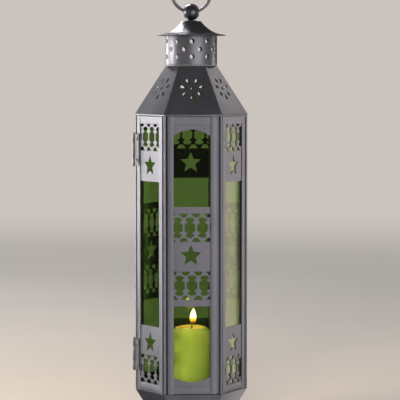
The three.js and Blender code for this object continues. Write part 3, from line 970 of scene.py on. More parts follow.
@dataclass
class SideFrames(Assembly):
    """Stiles that run the full height and rails between them, folded from sheet with rounded edges."""

    lap: float = 3.1
    rebate: float = 3.5
    lip: float = 0.8
    step: float = 1.8
    edge: float = 0.7
    cut_edge: float = 0.6
    lean: float = 0.15
    rail_sink: float = 0.4
    least_lip: float = 0.05

    def __post_init__(self) -> None:
        """Takes the outline from the front frame and its glass."""
        outline, pane = Extent.of("front_frame"), Extent.of("front_glass")
        self.left, self.right = outline.low.x, outline.high.x
        self.bottom, self.top = outline.low.z, outline.high.z
        self.face, self.back = outline.low.y, outline.high.y
        self.window_left, self.window_right = pane.low.x + self.lap, pane.high.x - self.lap
        self.window_bottom, self.window_top = pane.low.z + self.lap, pane.high.z - self.lap

    def _section(self, outer: float, inner: float, deep: float, face: float, lean: float) -> list[Point2]:
        """The section of a stile or rail across its run.

        Args:
            outer: its outer edge.
            inner: its edge at the window.
            deep: where its deep part ends, on the outer side.
            face: its front face.
            lean: how much deeper the outer edge lies than the inner one.
        Returns:
            Points as (across, depth).
        """
        way = 1 if inner > outer else -1
        back_of_lip = self.face + self.lip
        room = back_of_lip - face - self.least_lip
        e, c = min(self.edge, room - lean), min(self.cut_edge, room)
        quarter = [math.radians(15 * i) for i in range(7)]
        near = [(outer + way * e * (1 - math.cos(a)), face + lean + e * (1 - math.sin(a))) for a in quarter]
        far = [(inner - way * c * (1 - math.cos(a)), face + c * (1 - math.sin(a))) for a in quarter[::-1]]
        tail = [
            (inner, back_of_lip),
            (inner - way * self.rebate, back_of_lip),
            (inner - way * self.rebate, self.back),
            (deep, self.back),
        ]
        if abs(deep - outer) > 1e-6:
            tail += [(deep, back_of_lip), (outer, back_of_lip)]
        return near + far + tail

    def build(self, side: Side) -> None:
        """Makes one side's frame.

        Args:
            side: the side.
        """
        mesh = bmesh.new()
        left = self._section(self.left, self.window_left, self.left + self.step, self.face, self.lean)
        right = self._section(self.right, self.window_right, self.right, self.face, 0.0)
        for section in (left, right):
            prism(section, upright, self.bottom, self.top, mesh)
        sunk = self.face + self.rail_sink
        foot = self._section(self.bottom, self.window_bottom, self.bottom, sunk, 0.0)
        head = self._section(self.top, self.window_top, self.top, sunk, 0.0)
        for section in (foot, head):
            turned_section = [(depth, across) for across, depth in section]
            prism(turned_section, lengthwise, self.window_left, self.window_right, mesh)
        self.add(f"{side.name}_formed_frame", mesh, Slot.PEWTER, f"{side.name}_frame",
                 body=side.body, turn=side.turn)


@dataclass(frozen=True)
class Pattern:
    """A side's cut-outs: clear openings (foot, head, foot bow, head bow), bands and stars (height, shift)."""

    clear: tuple[tuple[float, float, float, float], ...]
    bands: tuple[Point2, ...]
    stars: tuple[Point2, ...]


PATTERNS = {
    SideKind.ARCHED: Pattern(
        clear=((292.3, 382.6, 0.0, 9.0), (73.0, 164.2, 7.2, 0.0)),
        bands=((265.6, -2.7), (190.9, 0.0)),
        stars=((229.4, -1.5),),
    ),
    SideKind.BORDERED: Pattern(
        clear=((135.2, 323.5, 0.0, 0.0),),
        bands=((381.3, 4.7), (78.6, 4.7)),
        stars=((343.9, 0.0), (113.6, 0.0)),
    ),
}


@dataclass
class PiercedSheets(Assembly):
    """The pierced sheet behind each frame; lobe, pinch and waist are each a half width and its height."""

    rows: PunchRow
    frames: SideFrames
    pitch: float = 16.1
    per_band: int = 5
    lobe: Point2 = (5.8, 9.4)
    crown: float = 13.1
    pinch: Point2 = (2.7, 7.1)
    waist: Point2 = (6.8, 4.1)
    band_half: float = 18.25
    wedge_height: float = 5.2
    wedge_wide: float = 6.2
    wedge_narrow: float = 2.4
    star_outer: float = 14.4
    star_ratio: float = 0.45
    star_points: int = 5
    spill: float = 0.8

    def __post_init__(self) -> None:
        """Takes the sheet's size from the frame."""
        self.sheet = Extent.of("front_pierced_sheet")
        self.middle = (self.frames.window_left + self.frames.window_right) / 2

    def _through(self, name: str, outlines: Sequence[Sequence[Point2]]) -> bpy.types.Object:
        """A punch that goes right through the sheet.

        Args:
            name: the tool's name.
            outlines: its outlines in X and Z.
        Returns:
            The tool.
        """
        mesh = bmesh.new()
        for outline in outlines:
            prism(outline, outward, self.sheet.low.y - 2, self.sheet.high.y + 2, mesh)
        return scratch(name, mesh, False)

    def _lobe(self) -> list[Point2]:
        """The lattice's tall opening: a round lobe, a pinch and a wide waist, the same upside down."""
        (lobe, lobe_at), (pinch, pinch_at), (waist, waist_at) = self.lobe, self.pinch, self.waist
        steps = 14
        angles = [math.pi * i / steps for i in range(steps + 1)]
        half = [(lobe * math.cos(a), lobe_at + (self.crown - lobe_at) * math.sin(a)) for a in angles]
        half += [(-pinch, pinch_at), (-waist, waist_at), (-waist, -waist_at), (-pinch, -pinch_at)]
        return rounded_profile(half + [(-x, -z) for x, z in half], 0.35, 2)

    def _wedge(self, way: int) -> list[Point2]:
        """The small opening between two lobes; way is 1 at the band's top and -1 at its foot."""
        edge, root = way * self.band_half, way * (self.band_half - self.wedge_height)
        wide, narrow, x = self.wedge_wide, self.wedge_narrow, self.pitch / 2
        corners = [(x - wide, edge), (x - narrow, root), (x + narrow, root), (x + wide, edge)]
        return rounded_profile(corners, 0.8, 3)

    def _star(self) -> list[Point2]:
        """A star with one point up."""
        points = []
        for i in range(2 * self.star_points):
            r = self.star_outer * (self.star_ratio if i % 2 else 1.0)
            a = math.pi / 2 + i * math.pi / self.star_points
            points.append((r * math.cos(a), r * math.sin(a)))
        return points

    def _clear(self, bottom: float, top: float, foot_rise: float, head_rise: float) -> list[Point2]:
        """An opening as wide as the window, bowed at its foot or head.

        Args:
            bottom: height of its foot at the sides.
            top: height of its head at the sides.
            foot_rise: how far the foot bows down in the middle.
            head_rise: how far the head bows up in the middle.
        Returns:
            The outline.
        """
        left, right = self.frames.window_left - self.spill, self.frames.window_right + self.spill
        half, steps = (right - left) / 2, 24
        across = [i / steps * 2 - 1 for i in range(steps + 1)]
        foot = [(self.middle + half * t, bottom - foot_rise * (1 - t * t)) for t in across]
        head = [(self.middle - half * t, top + head_rise * (1 - t * t)) for t in across]
        return foot + head

    def build(self, side: Side) -> None:
        """Makes one side's sheet.

        Args:
            side: the side.
        """
        s, f, pattern = self.sheet, self.frames, PATTERNS[side.kind]
        mesh = prism(hoop(s.low.x, s.high.x, s.low.z, s.high.z), outward, s.low.y, s.high.y)
        plate = scratch(f"{side.name}_pierced_panel", mesh, False)
        window = self._clear(f.window_bottom - self.spill, f.window_top + self.spill, 0, 0)
        reach = self._through("reach", [window])
        whole = self._through("whole", [hoop(-90, 90, 0, 500)])
        lattice = self._through("lattice_punch", [self._lobe(), self._wedge(1), self._wedge(-1)])
        star = self._through("star_punch", [self._star()])
        clear = [self._through("clear_punch", [self._clear(*opening)]) for opening in pattern.clear]
        cuts = [(tool, whole, 1, 0.0, 0.0) for tool in clear]
        first = self.middle - (self.per_band - 1) / 2 * self.pitch
        cuts += [(lattice, reach, self.per_band, first + shift, height) for height, shift in pattern.bands]
        cuts += [(star, whole, 1, self.middle + shift, height) for height, shift in pattern.stars]
        for tool, limit, count, x, z in cuts:
            self.rows.work_on(plate, punch=tool, reach=limit, count=count, start=(x, 0.0, z),
                              step=(self.pitch, 0.0, 0.0), material=self.shop.materials[Slot.DARK_PEWTER])
        bake_modifiers(plate)
        drop(reach, whole, lattice, star, *clear)
        self.shop.deliver(plate, side.body, Slot.DARK_PEWTER, [f"{side.name}_pierced_sheet"], side.turn)


@dataclass
class CornerPosts(Assembly):
    """Folded posts with a round bead at each corner."""

    bead: float = 1.6
    leg: float = 8.0
    face: float = 58.6
    sheet: float = 1.0
    web: float = 0.6

    def build(self) -> None:
        """Makes the six posts."""
        right = Extent.of("right_post")
        half = TURN / 2
        slope = math.pi / 2 + half
        run = (self.leg * math.cos(slope), self.leg * math.sin(slope))
        outer, inner = self.face / math.cos(half), (self.face - self.sheet) / math.cos(half)
        foot = outer - self.web * math.tan(half)
        grip = math.degrees(math.asin(self.web / self.bead))
        section = [(inner + run[0], -run[1]), (outer + run[0], -run[1]), (foot, -self.web)]
        section += arc((right.high.x - self.bead, 0.0), self.bead, -180 + grip, 180 - grip, 28)
        section += [(foot, self.web), (outer + run[0], run[1]), (inner + run[0], run[1]), (inner, 0.0)]
        for k, corner in enumerate(CORNERS):
            mesh = prism(section, upright, right.low.z, right.high.z)
            self.add(f"{corner}_post_beaded", mesh, Slot.PEWTER, f"{corner}_post", turn=k * TURN)


# ---------------------------------------------------------------- base and roof


@dataclass
class Base(Assembly):
    """The sloping skirt under the body, the foot and the floor plate."""

    sheet: float = 1.3
    flange: float = 58.0
    neck: float = 52.0
    hem: float = 3.0

    def build(self) -> None:
        """Makes the base's pieces."""
        skirt, foot = Extent.of("base_skirt"), Extent.of("base_foot")
        head, t = skirt.high.x, self.sheet
        profile = [
            (self.neck, skirt.low.z),
            (head, skirt.high.z - 0.6),
            (head - 0.5, skirt.high.z),
            (self.flange, skirt.high.z),
            (self.flange, skirt.high.z - t),
            (head - 2.4 * t, skirt.high.z - t),
            (self.neck - t, skirt.low.z),
        ]
        self.add("base_folded_skirt", folded(profile), Slot.PEWTER, "base_skirt")
        wide, top = foot.high.x, foot.high.z
        profile = [
            (wide - 0.6, 0.0),
            (wide, 0.6),
            (wide, self.hem),
            (wide - 0.7, self.hem + 0.9),
            (self.neck, top),
            (self.neck - t, top),
            (wide - t - 1.0, self.hem),
            (wide - t - 1.0, t),
        ]
        self.add("base_folded_foot", lidded(profile), Slot.PEWTER, "base_foot")
        plate, edge = Extent.of("floor_plate"), 0.3
        profile = [
            (plate.high.x - edge, plate.low.z),
            (plate.high.x, plate.low.z + edge),
            (plate.high.x, plate.high.z - edge),
            (plate.high.x - edge, plate.high.z),
        ]
        self.add("floor_sheet", lidded(profile), Slot.PEWTER, "floor_plate")


@dataclass
class Roof(Assembly):
    """The six-sided roof with a pierced flower in each slope."""

    rounds: PunchRound
    sheet: float = 1.3
    hem: float = 2.5
    flange: float = 58.0
    neck: float = 33.7
    petals: int = 7
    petal_start: float = 8.0
    petal_length: float = 8.0
    petal_half: float = 2.75
    eye: float = 2.25
    from_top: float = 0.47
    punch_reach: float = 6.0

    def _petal(self) -> list[Point2]:
        """A teardrop that points at the flower's middle, drawn straight down from it."""
        wide = self.petal_start + self.petal_length - self.petal_half
        bulb = arc((0.0, -wide), self.petal_half, -165, -15, 12)
        flank = [(self.petal_half * 0.72, -wide + 2.2), (0.35, -self.petal_start - 0.2)]
        other = [(-x, y) for x, y in flank[::-1]]
        return bulb + flank + other

    def build(self) -> None:
        """Makes the roof."""
        shell = Extent.of("roof_shell")
        eave, bottom, top = shell.high.x, shell.low.z, shell.high.z
        t, slope_foot = self.sheet, shell.low.z + self.hem
        profile = [
            (self.flange, bottom),
            (eave - 0.5, bottom),
            (eave, bottom + 0.5),
            (eave, slope_foot - 0.5),
            (eave - 0.4, slope_foot + 0.4),
            (self.neck, top),
            (self.neck - 1.25 * t, top),
            (eave - 1.25 * t, slope_foot),
            (eave - 1.25 * t, bottom + t),
            (self.flange, bottom + t),
        ]
        roof = scratch("roof_pierced_shell", folded(profile), False)
        flat = math.cos(TURN / 2)
        run, rise = (eave - self.neck) * flat, top - slope_foot
        place = (0.0, -(self.neck * flat + self.from_top * run), top - self.from_top * rise)
        tilt = math.atan2(rise, run)
        outlines = {"petal": self._petal(), "eye": arc((0.0, 0.0), self.eye, 0, 345, 23)}
        tools = [
            scratch(f"{name}_punch", prism(outline, upright, -self.punch_reach, self.punch_reach), False)
            for name, outline in outlines.items()
        ]
        metal = self.shop.materials[Slot.DARK_PEWTER]
        for tool, petals in zip(tools, (self.petals, 1)):
            self.rounds.work_on(roof, punch=tool, petals=petals, tilt=(tilt, 0.0, 0.0), place=place,
                                copies=SIDES, phase=0.0, material=metal)
        bake_modifiers(roof, True)
        drop(*tools)
        self.shop.deliver(roof, Body.LANTERN, Slot.DARK_PEWTER, ["roof_shell"])


@dataclass
class Chimney(Assembly):
    """The round chimney with three rows of holes, its seat, the flared cap, and the finial's washer and nut.

    The cap's slope is a list of radii, each with its fall from the top.
    """

    rounds: PunchRound
    wall: float = 1.0
    hole: float = 3.15
    per_row: int = 10
    rows: tuple[float, ...] = (12.0, 21.6, 31.8)
    facets: int = 120
    seat_bore: float = 27.0
    washer_radius: float = 7.0
    stem_hole: float = 2.9
    cap_sheet: float = 0.9
    cap_roll: float = 0.5
    cap_flat: float = 11.6
    cap_slope: tuple[Point2, ...] = ((12.5, 0.0), (17.2, 5.4), (23.4, 10.5), (29.5, 14.2), (35.9, 16.4))

    def build(self) -> None:
        """Makes the chimney's pieces."""
        self._wall()
        self._cap()
        seat, washer = Extent.of("chimney_seat"), Extent.of("finial_washer")
        ring = hoop(self.seat_bore, seat.high.x, seat.low.z, seat.high.z)
        # The seat and washer take the darker pewter, whose darkness is painted shade.
        mesh, metal = turned(rounded_profile(ring, 0.4), self.facets, True), self.shop.shaded_pewter
        self.add("chimney_seat_ring", mesh, Slot.PEWTER, "chimney_seat", material=metal)
        ring = hoop(self.stem_hole, self.washer_radius, washer.low.z, washer.high.z)
        mesh = turned(rounded_profile(ring, 0.3), 48, True)
        self.add("finial_round_washer", mesh, Slot.DARK_PEWTER, "finial_washer", material=metal)
        self.shop.dress("finial_nut", Slot.FITTINGS)

    def _wall(self) -> None:
        """Makes the pierced wall."""
        wall, roof = Extent.of("chimney"), Extent.of("roof_shell")
        outer = wall.high.x
        ring = hoop(outer - self.wall, outer, wall.low.z, wall.high.z)
        wall_mesh = turned(rounded_profile(ring, 0.3, 2), self.facets, True)
        tube = scratch("chimney_pierced_wall", wall_mesh, False)
        tool = scratch("hole_punch", prism(arc((0.0, 0.0), self.hole, 0, 345, 23), outward, -4.0, 4.0), False)
        step = math.tau / self.per_row
        for row, height in enumerate(self.rows):
            place = (0.0, -outer, roof.high.z + height)
            phase = (row % 2) * step / 2
            self.rounds.work_on(tube, punch=tool, petals=1, tilt=BLACK, place=place, copies=self.per_row,
                                phase=phase, material=self.shop.materials[Slot.PEWTER])
        bake_modifiers(tube, True)
        drop(tool)
        self.shop.deliver(tube, Body.LANTERN, Slot.PEWTER, ["chimney"])

    def _cap(self) -> None:
        """Makes the flared cap with a rolled brim."""
        cap = Extent.of("cap")
        brim, top, t = cap.high.x, cap.high.z, self.cap_sheet
        low = cap.low.z + t + 0.1
        slope = [(r, top - drop_by) for r, drop_by in self.cap_slope]
        outside = curve_through([*slope, (brim - t, low)], 5)
        roll = arc((brim - t, low - self.cap_roll), self.cap_roll, 90, -90, 6)
        inside = [(r - 0.25, z - t) for r, z in outside[::-1][3:]]
        hub = [(self.stem_hole, top - t), (self.stem_hole, top), (self.cap_flat, top)]
        mesh = turned(outside + roll + inside + hub, 128, True)
        # The cap takes the darker pewter, whose darkness is painted shade.
        self.add("cap_flared", mesh, Slot.DARK_PEWTER, "cap", material=self.shop.shaded_pewter)


@dataclass
class Finial(Assembly):
    """The drilled ball on its stem and the wire ring that hangs in it."""

    rows: PunchRow
    ball: float = 10.9
    stem: float = 2.6
    wire: float = 2.0
    play: float = 0.5
    seam_spread: float = 1.6
    seam_dip: float = 0.14

    def build(self) -> None:
        """Makes the ball and the ring."""
        body, ring = Extent.of("finial_ball"), Extent.of("hanging_ring")
        middle = body.high.z - self.ball
        bend = (ring.high.x - ring.low.x) / 2 - self.wire
        joint = -math.degrees(math.acos(self.stem / self.ball))
        half = arc((0.0, middle), self.ball, joint, 90, 40)
        foot, bevel = body.low.z, 0.3
        stem = [(0.0, foot), (self.stem - bevel, foot), (self.stem, foot + bevel)]
        ball = scratch("finial_drilled_ball", turned(stem + capped(half), 64), False)
        reach, steps = self.ball + 1.5, 12
        along = [-reach + 2 * reach * i / steps for i in range(steps + 1)]
        hourglass = [(self.wire + self.play + bend - math.sqrt(bend * bend - x * x), x) for x in along]
        drill = turned([(0.0, -reach), *hourglass, (0.0, reach)], 32)
        drill.transform(Matrix.Translation((0, 0, middle)) @ Matrix.Rotation(math.pi / 2, 4, "Y"))
        tool = scratch("ring_drill", drill, False)
        extent = bmesh.new()
        bmesh.ops.create_cube(extent, size=60, matrix=Matrix.Translation((0, 0, middle)))
        reach_box = scratch("reach", extent, False)
        # The ball takes the darker pewter, whose darkness is painted shade.
        self.rows.work_on(ball, punch=tool, reach=reach_box, count=1, material=self.shop.shaded_pewter)
        bake_modifiers(ball, True)
        drop(tool, reach_box)
        self.shop.deliver(ball, Body.LANTERN, Slot.DARK_PEWTER, ["finial_ball"], material=self.shop.shaded_pewter)
        self._ring(bend, middle + bend)

    def _ring(self, bend: float, centre: float) -> None:
        """Makes the wire ring, a little flattened where its ends meet.

        Args:
            bend: its mean radius.
            centre: its centre's height.
        """
        rings = []
        steps, round_steps = 144, 20
        section = [math.tau * j / round_steps for j in range(round_steps)]
        for i in range(steps):
            a = math.tau * i / steps
            seam = math.exp(-((math.degrees(a) - 90) / self.seam_spread) ** 2)
            w = self.wire * (1 - self.seam_dip * seam)
            around = [(bend + w * math.cos(b), w * math.sin(b)) for b in section]
            rings.append([(r * math.cos(a), y, centre + r * math.sin(a)) for r, y in around])
        self.add("hanging_wire_ring", skinned(rings, True), Slot.FITTINGS, "hanging_ring", body=Body.RING)


# ---------------------------------------------------------------- hinges, latch and knob


@dataclass
class Hinges(Assembly):
    """Two butt hinges on the left corner: leaves, knuckles, pins and rivets."""

    studs: StudRow
    axis: float = 75.3
    knuckle: float = 1.65
    bore: float = 1.15
    pin: float = 0.85
    near: float = 64.0
    thick: float = 0.8
    middle: float = 20.4
    gap: float = 0.3
    fixed_edge: float = 26.5
    door_edge: float = 24.4
    notch_gap: float = 0.7
    root_gap: float = 0.9
    rivet_inset: float = 3.4
    rivet_spread: float = 14.0
    pin_cap: float = 1.2

    def _leaf(self, name: str, way: int, outer_knuckles: bool) -> bmesh.types.BMesh:
        """One leaf at its height, drawn on the front side.

        Args:
            name: the CAD leaf that it replaces.
            way: -1 on the left corner, 1 on the right one.
            outer_knuckles: whether it carries the two short knuckles or the long one.
        Returns:
            The leaf.
        """
        box = Extent.of(name)
        low, high = box.low.z, box.high.z
        centre, half = (low + high) / 2, self.middle / 2
        x = way * self.axis * math.sin(TURN / 2)
        y = -self.axis * math.cos(TURN / 2)
        edge = way * (self.fixed_edge if outer_knuckles else self.door_edge)
        notch = x - way * (self.knuckle + self.notch_gap)
        root = x - way * self.root_gap
        if outer_knuckles:
            spans = [(low, centre - half), (centre + half, high)]
            plate = [(edge, low), (root, low), (root, centre - half), (notch, centre - half)]
            plate += [(notch, centre + half), (root, centre + half), (root, high), (edge, high)]
        else:
            a, b = centre - half + self.gap, centre + half - self.gap
            spans = [(a, b)]
            plate = [(edge, low), (notch, low), (notch, a), (root, a)]
            plate += [(root, b), (notch, b), (notch, high), (edge, high)]
        mesh = prism(rounded_profile(plate, 0.8, 3), outward, -self.near - self.thick, -self.near)
        for start, end in spans:
            profile = rounded_profile(hoop(self.bore, self.knuckle, start, end), 0.2, 2)
            rings = [circle_ring(r, z, 32) for r, z in profile]
            loops(mesh, [[(x + across, y + out, z) for across, out, z in ring] for ring in rings], True)
        return mesh

    def _rivets(self, name: str, height: float, way: int, edge: float, face: float) -> bpy.types.Object:
        """A leaf's two domed rivets.

        Args:
            name: the new piece's name.
            height: middle of the hinge.
            way: -1 on the left corner, 1 on the right one.
            edge: the leaf's far edge.
            face: distance of the frame's face from the axis.
        Returns:
            The rivets.
        """
        head = self.near + self.thick + self.gap - face
        dome = arc((0.0, head - 2.0), 2.9, 43.6, 90, 8)
        stud = turned([(0.0, self.gap), (0.8, self.gap), (0.8, head), *capped(dome)], 28)
        stud.transform(Matrix.Rotation(math.pi / 2, 4, "X"))
        piece = scratch(name, stud)
        start = (way * (edge + self.rivet_inset), -face, height - self.rivet_spread)
        self.studs.work_on(piece, count=2, start=start, step=(0.0, 0.0, 2 * self.rivet_spread),
                           material=self.shop.materials[Slot.FITTINGS])
        bake_modifiers(piece)
        return piece

    def build(self) -> None:
        """Makes both hinges."""
        door, neighbour = ALL_SIDES[4], ALL_SIDES[5]
        face = -Extent.of("front_frame").low.y
        leaves = [
            ("fixed", Body.LANTERN, -1, self.fixed_edge, neighbour.turn),
            ("door", Body.DOOR, 1, self.door_edge, door.turn),
        ]
        for place in ("upper", "lower"):
            box = Extent.of(f"{place}_hinge_fixed_leaf")
            height = (box.low.z + box.high.z) / 2
            for part, body, way, _, turn in leaves:
                node = f"{place}_hinge_{part}_leaf"
                mesh = self._leaf(node, way, way < 0)
                self.add(f"{node}_rolled", mesh, Slot.FITTINGS, node, body=body, turn=turn)
            for part, body, way, edge, turn in leaves:
                stem = f"{place}_hinge_{part}"
                piece = self._rivets(f"{stem}_rivets", height, way, edge, face)
                names = [f"{stem}_{end}_rivet" for end in ("top", "bottom")]
                self.shop.deliver(piece, body, Slot.FITTINGS, names, turn)
            self._pin(f"{place}_hinge_pin")

    def _pin(self, node: str) -> None:
        """A headed pin.

        Args:
            node: the CAD pin that it replaces.
        """
        box = Extent.of(node)
        low, high, edge = box.low.z, box.high.z, 0.5
        head = self.knuckle - 0.2
        foot = arc((head - edge, low + edge), edge, -90, 0, 4)
        crown = arc((head - edge, high - edge), edge, 0, 90, 4)
        lower, upper = low + self.pin_cap, high - self.pin_cap
        shank = [(head, lower), (self.pin, lower), (self.pin, upper), (head, upper)]
        mesh = turned([(0.0, low), *foot, *shank, *crown, (0.0, high)], 28)
        mesh.transform(Matrix.Translation((-self.axis, 0, 0)))
        self.add(f"{node}_headed", mesh, Slot.FITTINGS, node)


@dataclass
class Latch(Assembly):
    """The hook, its pivot, the peg that it drops over, and the pull knob, on the door's free side."""

    height: float = 232.0
    pivot: float = -28.0
    plate: float = 64.9
    thick: float = 1.2
    half: float = 2.2
    peg: float = 1.1
    slot: float = 1.5
    bead_centre: float = 71.7
    bead: float = 1.6
    gap: float = 0.3
    hook_end: float = 1.4
    peg_end: float = 1.4
    knob_x: float = -29.0
    knob_z: float = 200.0
    knob: tuple[Point2, ...] = (
        (3.4, 0.5), (3.2, 1.2), (2.1, 2.2), (1.9, 3.2), (2.4, 4.3),
        (3.8, 5.5), (4.4, 7.2), (3.8, 9.0), (2.0, 10.0),
    )

    def build(self) -> None:
        """Makes the latch and the knob."""
        face = -Extent.of("front_frame").low.y
        self._hook()
        top = self.plate + self.thick + self.gap - face
        ledge = self.plate - face - self.gap
        dome = arc((0.0, top - 1.2), 2.4, 30, 90, 8)
        pivot = [(0.0, self.gap), (2.0, self.gap), (2.0, ledge), (1.0, ledge), (1.0, top), (2.1, top)]
        pivot += capped(dome)
        self._stud("latch_pivot", pivot, (self.pivot, face, self.height), Body.DOOR)
        x = -self.bead_centre * math.sin(TURN / 2)
        foot = self.bead_centre * math.cos(TURN / 2) + self.bead + self.gap
        tip = self.plate + self.thick + self.peg_end - foot
        nose = arc((0.0, tip - self.peg), self.peg, 0, 90, 6)
        peg = [(0.0, 0.0), (self.peg, 0.0), *capped(nose)]
        self._stud("latch_peg", peg, (x, foot, self.height), Body.LANTERN)
        knob = [(0.0, self.gap), (self.knob[0][0], self.gap), *curve_through(self.knob, 4), (0.0, 10.3)]
        self._stud("door_knob", knob, (self.knob_x, face, self.knob_z), Body.DOOR)

    def _stud(self, node: str, profile: Sequence[Point2], place: Point3, body: Body) -> None:
        """A turned piece that points out of the door's side.

        Args:
            node: the CAD node that it replaces.
            profile: its (radius, height) points.
            place: its place across the side, its foot's distance from the axis and its height.
            body: the body that it moves with.
        """
        x, foot, z = place
        mesh = turned(profile, 40)
        mesh.transform(Matrix.Translation((x, -foot, z)) @ Matrix.Rotation(math.pi / 2, 4, "X"))
        self.add(f"{node}_turned", mesh, Slot.FITTINGS, node, body=body, turn=ALL_SIDES[4].turn)

    def _hook(self) -> None:
        """Makes the flat hook, round at its pivot and notched for the peg."""
        peg_x = -self.bead_centre * math.sin(TURN / 2)
        tip, z, h = peg_x - self.slot - self.hook_end, self.height, self.half
        outline = arc((self.pivot, z), h + 0.6, -90, 90, 12)
        outline += [(tip + 1, z + h + 0.6), (tip + 0.3, z + h), (tip, z + h - 0.8)]
        outline += [(tip, z - h + 0.4), (tip + 0.4, z - h), (peg_x - self.slot, z - h)]
        outline += [*arc((peg_x, z), self.slot, 180, 0, 12), (peg_x + self.slot, z - h)]
        mesh = prism(outline, outward, -self.plate - self.thick, -self.plate)
        turn = ALL_SIDES[4].turn
        self.add("latch_flat_hook", mesh, Slot.FITTINGS, "latch_hook", body=Body.LATCH, turn=turn)


# ---------------------------------------------------------------- candle


@dataclass
class Candle(Assembly):
    """A pillar candle with a sunk pool and soft rim, its wick and its flame.

    The shoulder's points are each a distance in from the wall and down from the top.
    """

    facets: int = 96
    pool: float = 8.0
    shoulder: tuple[Point2, ...] = (
        (0.0, 24.0), (0.0, 9.5), (0.9, 5.8), (2.8, 3.0), (4.6, 0.8), (6.2, 0.3), (7.8, 1.8), (9.6, 5.0),
    )
    seed: float = 4.7
    melt_depth: float = 14.0
    wave: float = 1.6
    back_dip: float = 1.3
    dent: float = 0.35
    slump: float = 0.25
    wick_radius: float = 1.05
    wick_lean: float = 1.3
    wick_sunk: float = 1.5
    flame_half: float = 4.4
    flame_height: float = 20.6
    flame_skew: float = 0.78
    flame_x: float = 2.0
    flame_sway: float = 0.8

    def build(self) -> None:
        """Makes the candle, wick and flame."""
        box, stub = Extent.of("candle"), Extent.of("wick")
        radius, bottom, top = box.high.x, box.low.z, box.high.z
        outline = [(radius - 1.2, bottom), (radius - 0.1, bottom + 1.2), (radius, bottom + 20)]
        outline += [(radius - inward, top - down) for inward, down in self.shoulder]
        outline += [(12.0, top - self.pool + 0.6), (5.0, top - self.pool)]
        rings = [
            [self._worn(r, z, box, math.tau * k / self.facets) for k in range(self.facets)]
            for r, z in curve_through(outline, 5)
        ]
        mesh = skinned([[(0.0, 0.0, bottom)], *rings, [(0.0, 0.0, top - self.pool)]])
        self.add("pillar_candle", mesh, Slot.WAX, "candle", material=Wax(top * MM).material())
        self._wick(stub)
        self._flame(stub.high.z)

    def _worn(self, r: float, z: float, box: Extent, angle: float) -> Point3:
        """One point of the candle, softened by melting near the top.

        Args:
            r: its radius.
            z: its height.
            box: the candle's box.
            angle: its angle round the candle.
        Returns:
            The point.
        """
        radius, bottom, top = box.high.x, box.low.z, box.high.z
        way = Vector((math.cos(angle), math.sin(angle), self.seed))
        melt = max(0.0, 1 - (top - z) / self.melt_depth)
        wave = noise.noise(way * 1.3) * self.wave * melt
        back_rim = (math.sin(angle) * 0.5 - 0.5) * self.back_dip * melt
        dent = (noise.noise(Vector((way.x * 2, way.y * 2, z * 0.05))) - 0.2) * self.dent
        rr = min(radius, r + (dent - self.slump * melt) * (1 if r > 0.5 * radius else 0))
        return (rr * way.x, rr * way.y, max(bottom, min(top, z + min(0.0, wave + back_rim))))

    def _wick(self, stub: Extent) -> None:
        """Makes the bent, tapering wick.

        Args:
            stub: the CAD wick's box.
        """
        low, high = stub.low.z - self.wick_sunk, stub.high.z
        rings, steps = [[(0.0, 0.0, low)]], 12
        for t in [i / steps for i in range(steps + 1)]:
            lean = self.wick_lean * t * t
            r = self.wick_radius * (1 - 0.35 * t) * (1 + 0.1 * math.sin(9 * t))
            rings.append([(x + lean, y, z) for x, y, z in circle_ring(r, low + (high - low) * t, 16)])
        rings.append([(self.wick_lean + 0.05, 0.0, high)])
        char = Char(stub.low.z * MM, high * MM).material()
        self.add("bent_wick", skinned(rings), Slot.COTTON, "wick", material=char)

    def _flame(self, wick_top: float) -> None:
        """Makes the flame, which is light and has no node of its own in the frame.

        Args:
            wick_top: height of the wick's tip.
        """
        low, high = wick_top - self.wick_sunk, wick_top + self.flame_height
        rings, steps = [[(self.flame_x, 0.0, low)]], 30
        for t in [i / steps for i in range(1, steps)]:
            r = self.flame_half * math.sin(math.pi * t ** self.flame_skew) ** self.flame_skew
            sway = self.flame_x + self.flame_sway * t * t
            ring = circle_ring(max(r, 0.05), low + (high - low) * t, 32)
            rings.append([(x + sway, y, z) for x, y, z in ring])
        rings.append([(self.flame_x + self.flame_sway, 0.0, high)])
        fire = Fire(low * MM, high * MM).material()
        self.add("candle_flame", skinned(rings), Slot.WAX, material=fire)


# ---------------------------------------------------------------- studio


@dataclass(frozen=True)
class SoftPanel:
    """A soft light that faces the lantern, as wide and high as the angles that it fills."""

    name: str
    azimuth: float
    elevation: float
    half_width: float
    half_height: float
    radiance: float
    mirrored: bool = True
    colour: Colour = (1.0, 1.0, 1.0)
    distance: float = 2.4

    def hang(self, aim: Vector) -> None:
        """Places the light.

        Args:
            aim: what it faces.
        """
        lamp = bpy.data.lights.new(self.name, "AREA")
        lamp.shape = "RECTANGLE"
        lamp.size = 2 * self.distance * math.tan(math.radians(self.half_width))
        lamp.size_y = 2 * self.distance * math.tan(math.radians(self.half_height))
        lamp.energy, lamp.color = self.radiance * math.pi * lamp.size * lamp.size_y, self.colour
        holder = on_stage(self.name, lamp)
        a, e = math.radians(self.azimuth), math.radians(self.elevation)
        way = Vector((math.sin(a) * math.cos(e), -math.cos(a) * math.cos(e), math.sin(e)))
        holder.location = aim + way * self.distance
        holder.rotation_mode = "QUATERNION"
        holder.rotation_quaternion = way.to_track_quat("Z", "Y")
        holder.visible_camera = False
        holder.visible_glossy = self.mirrored


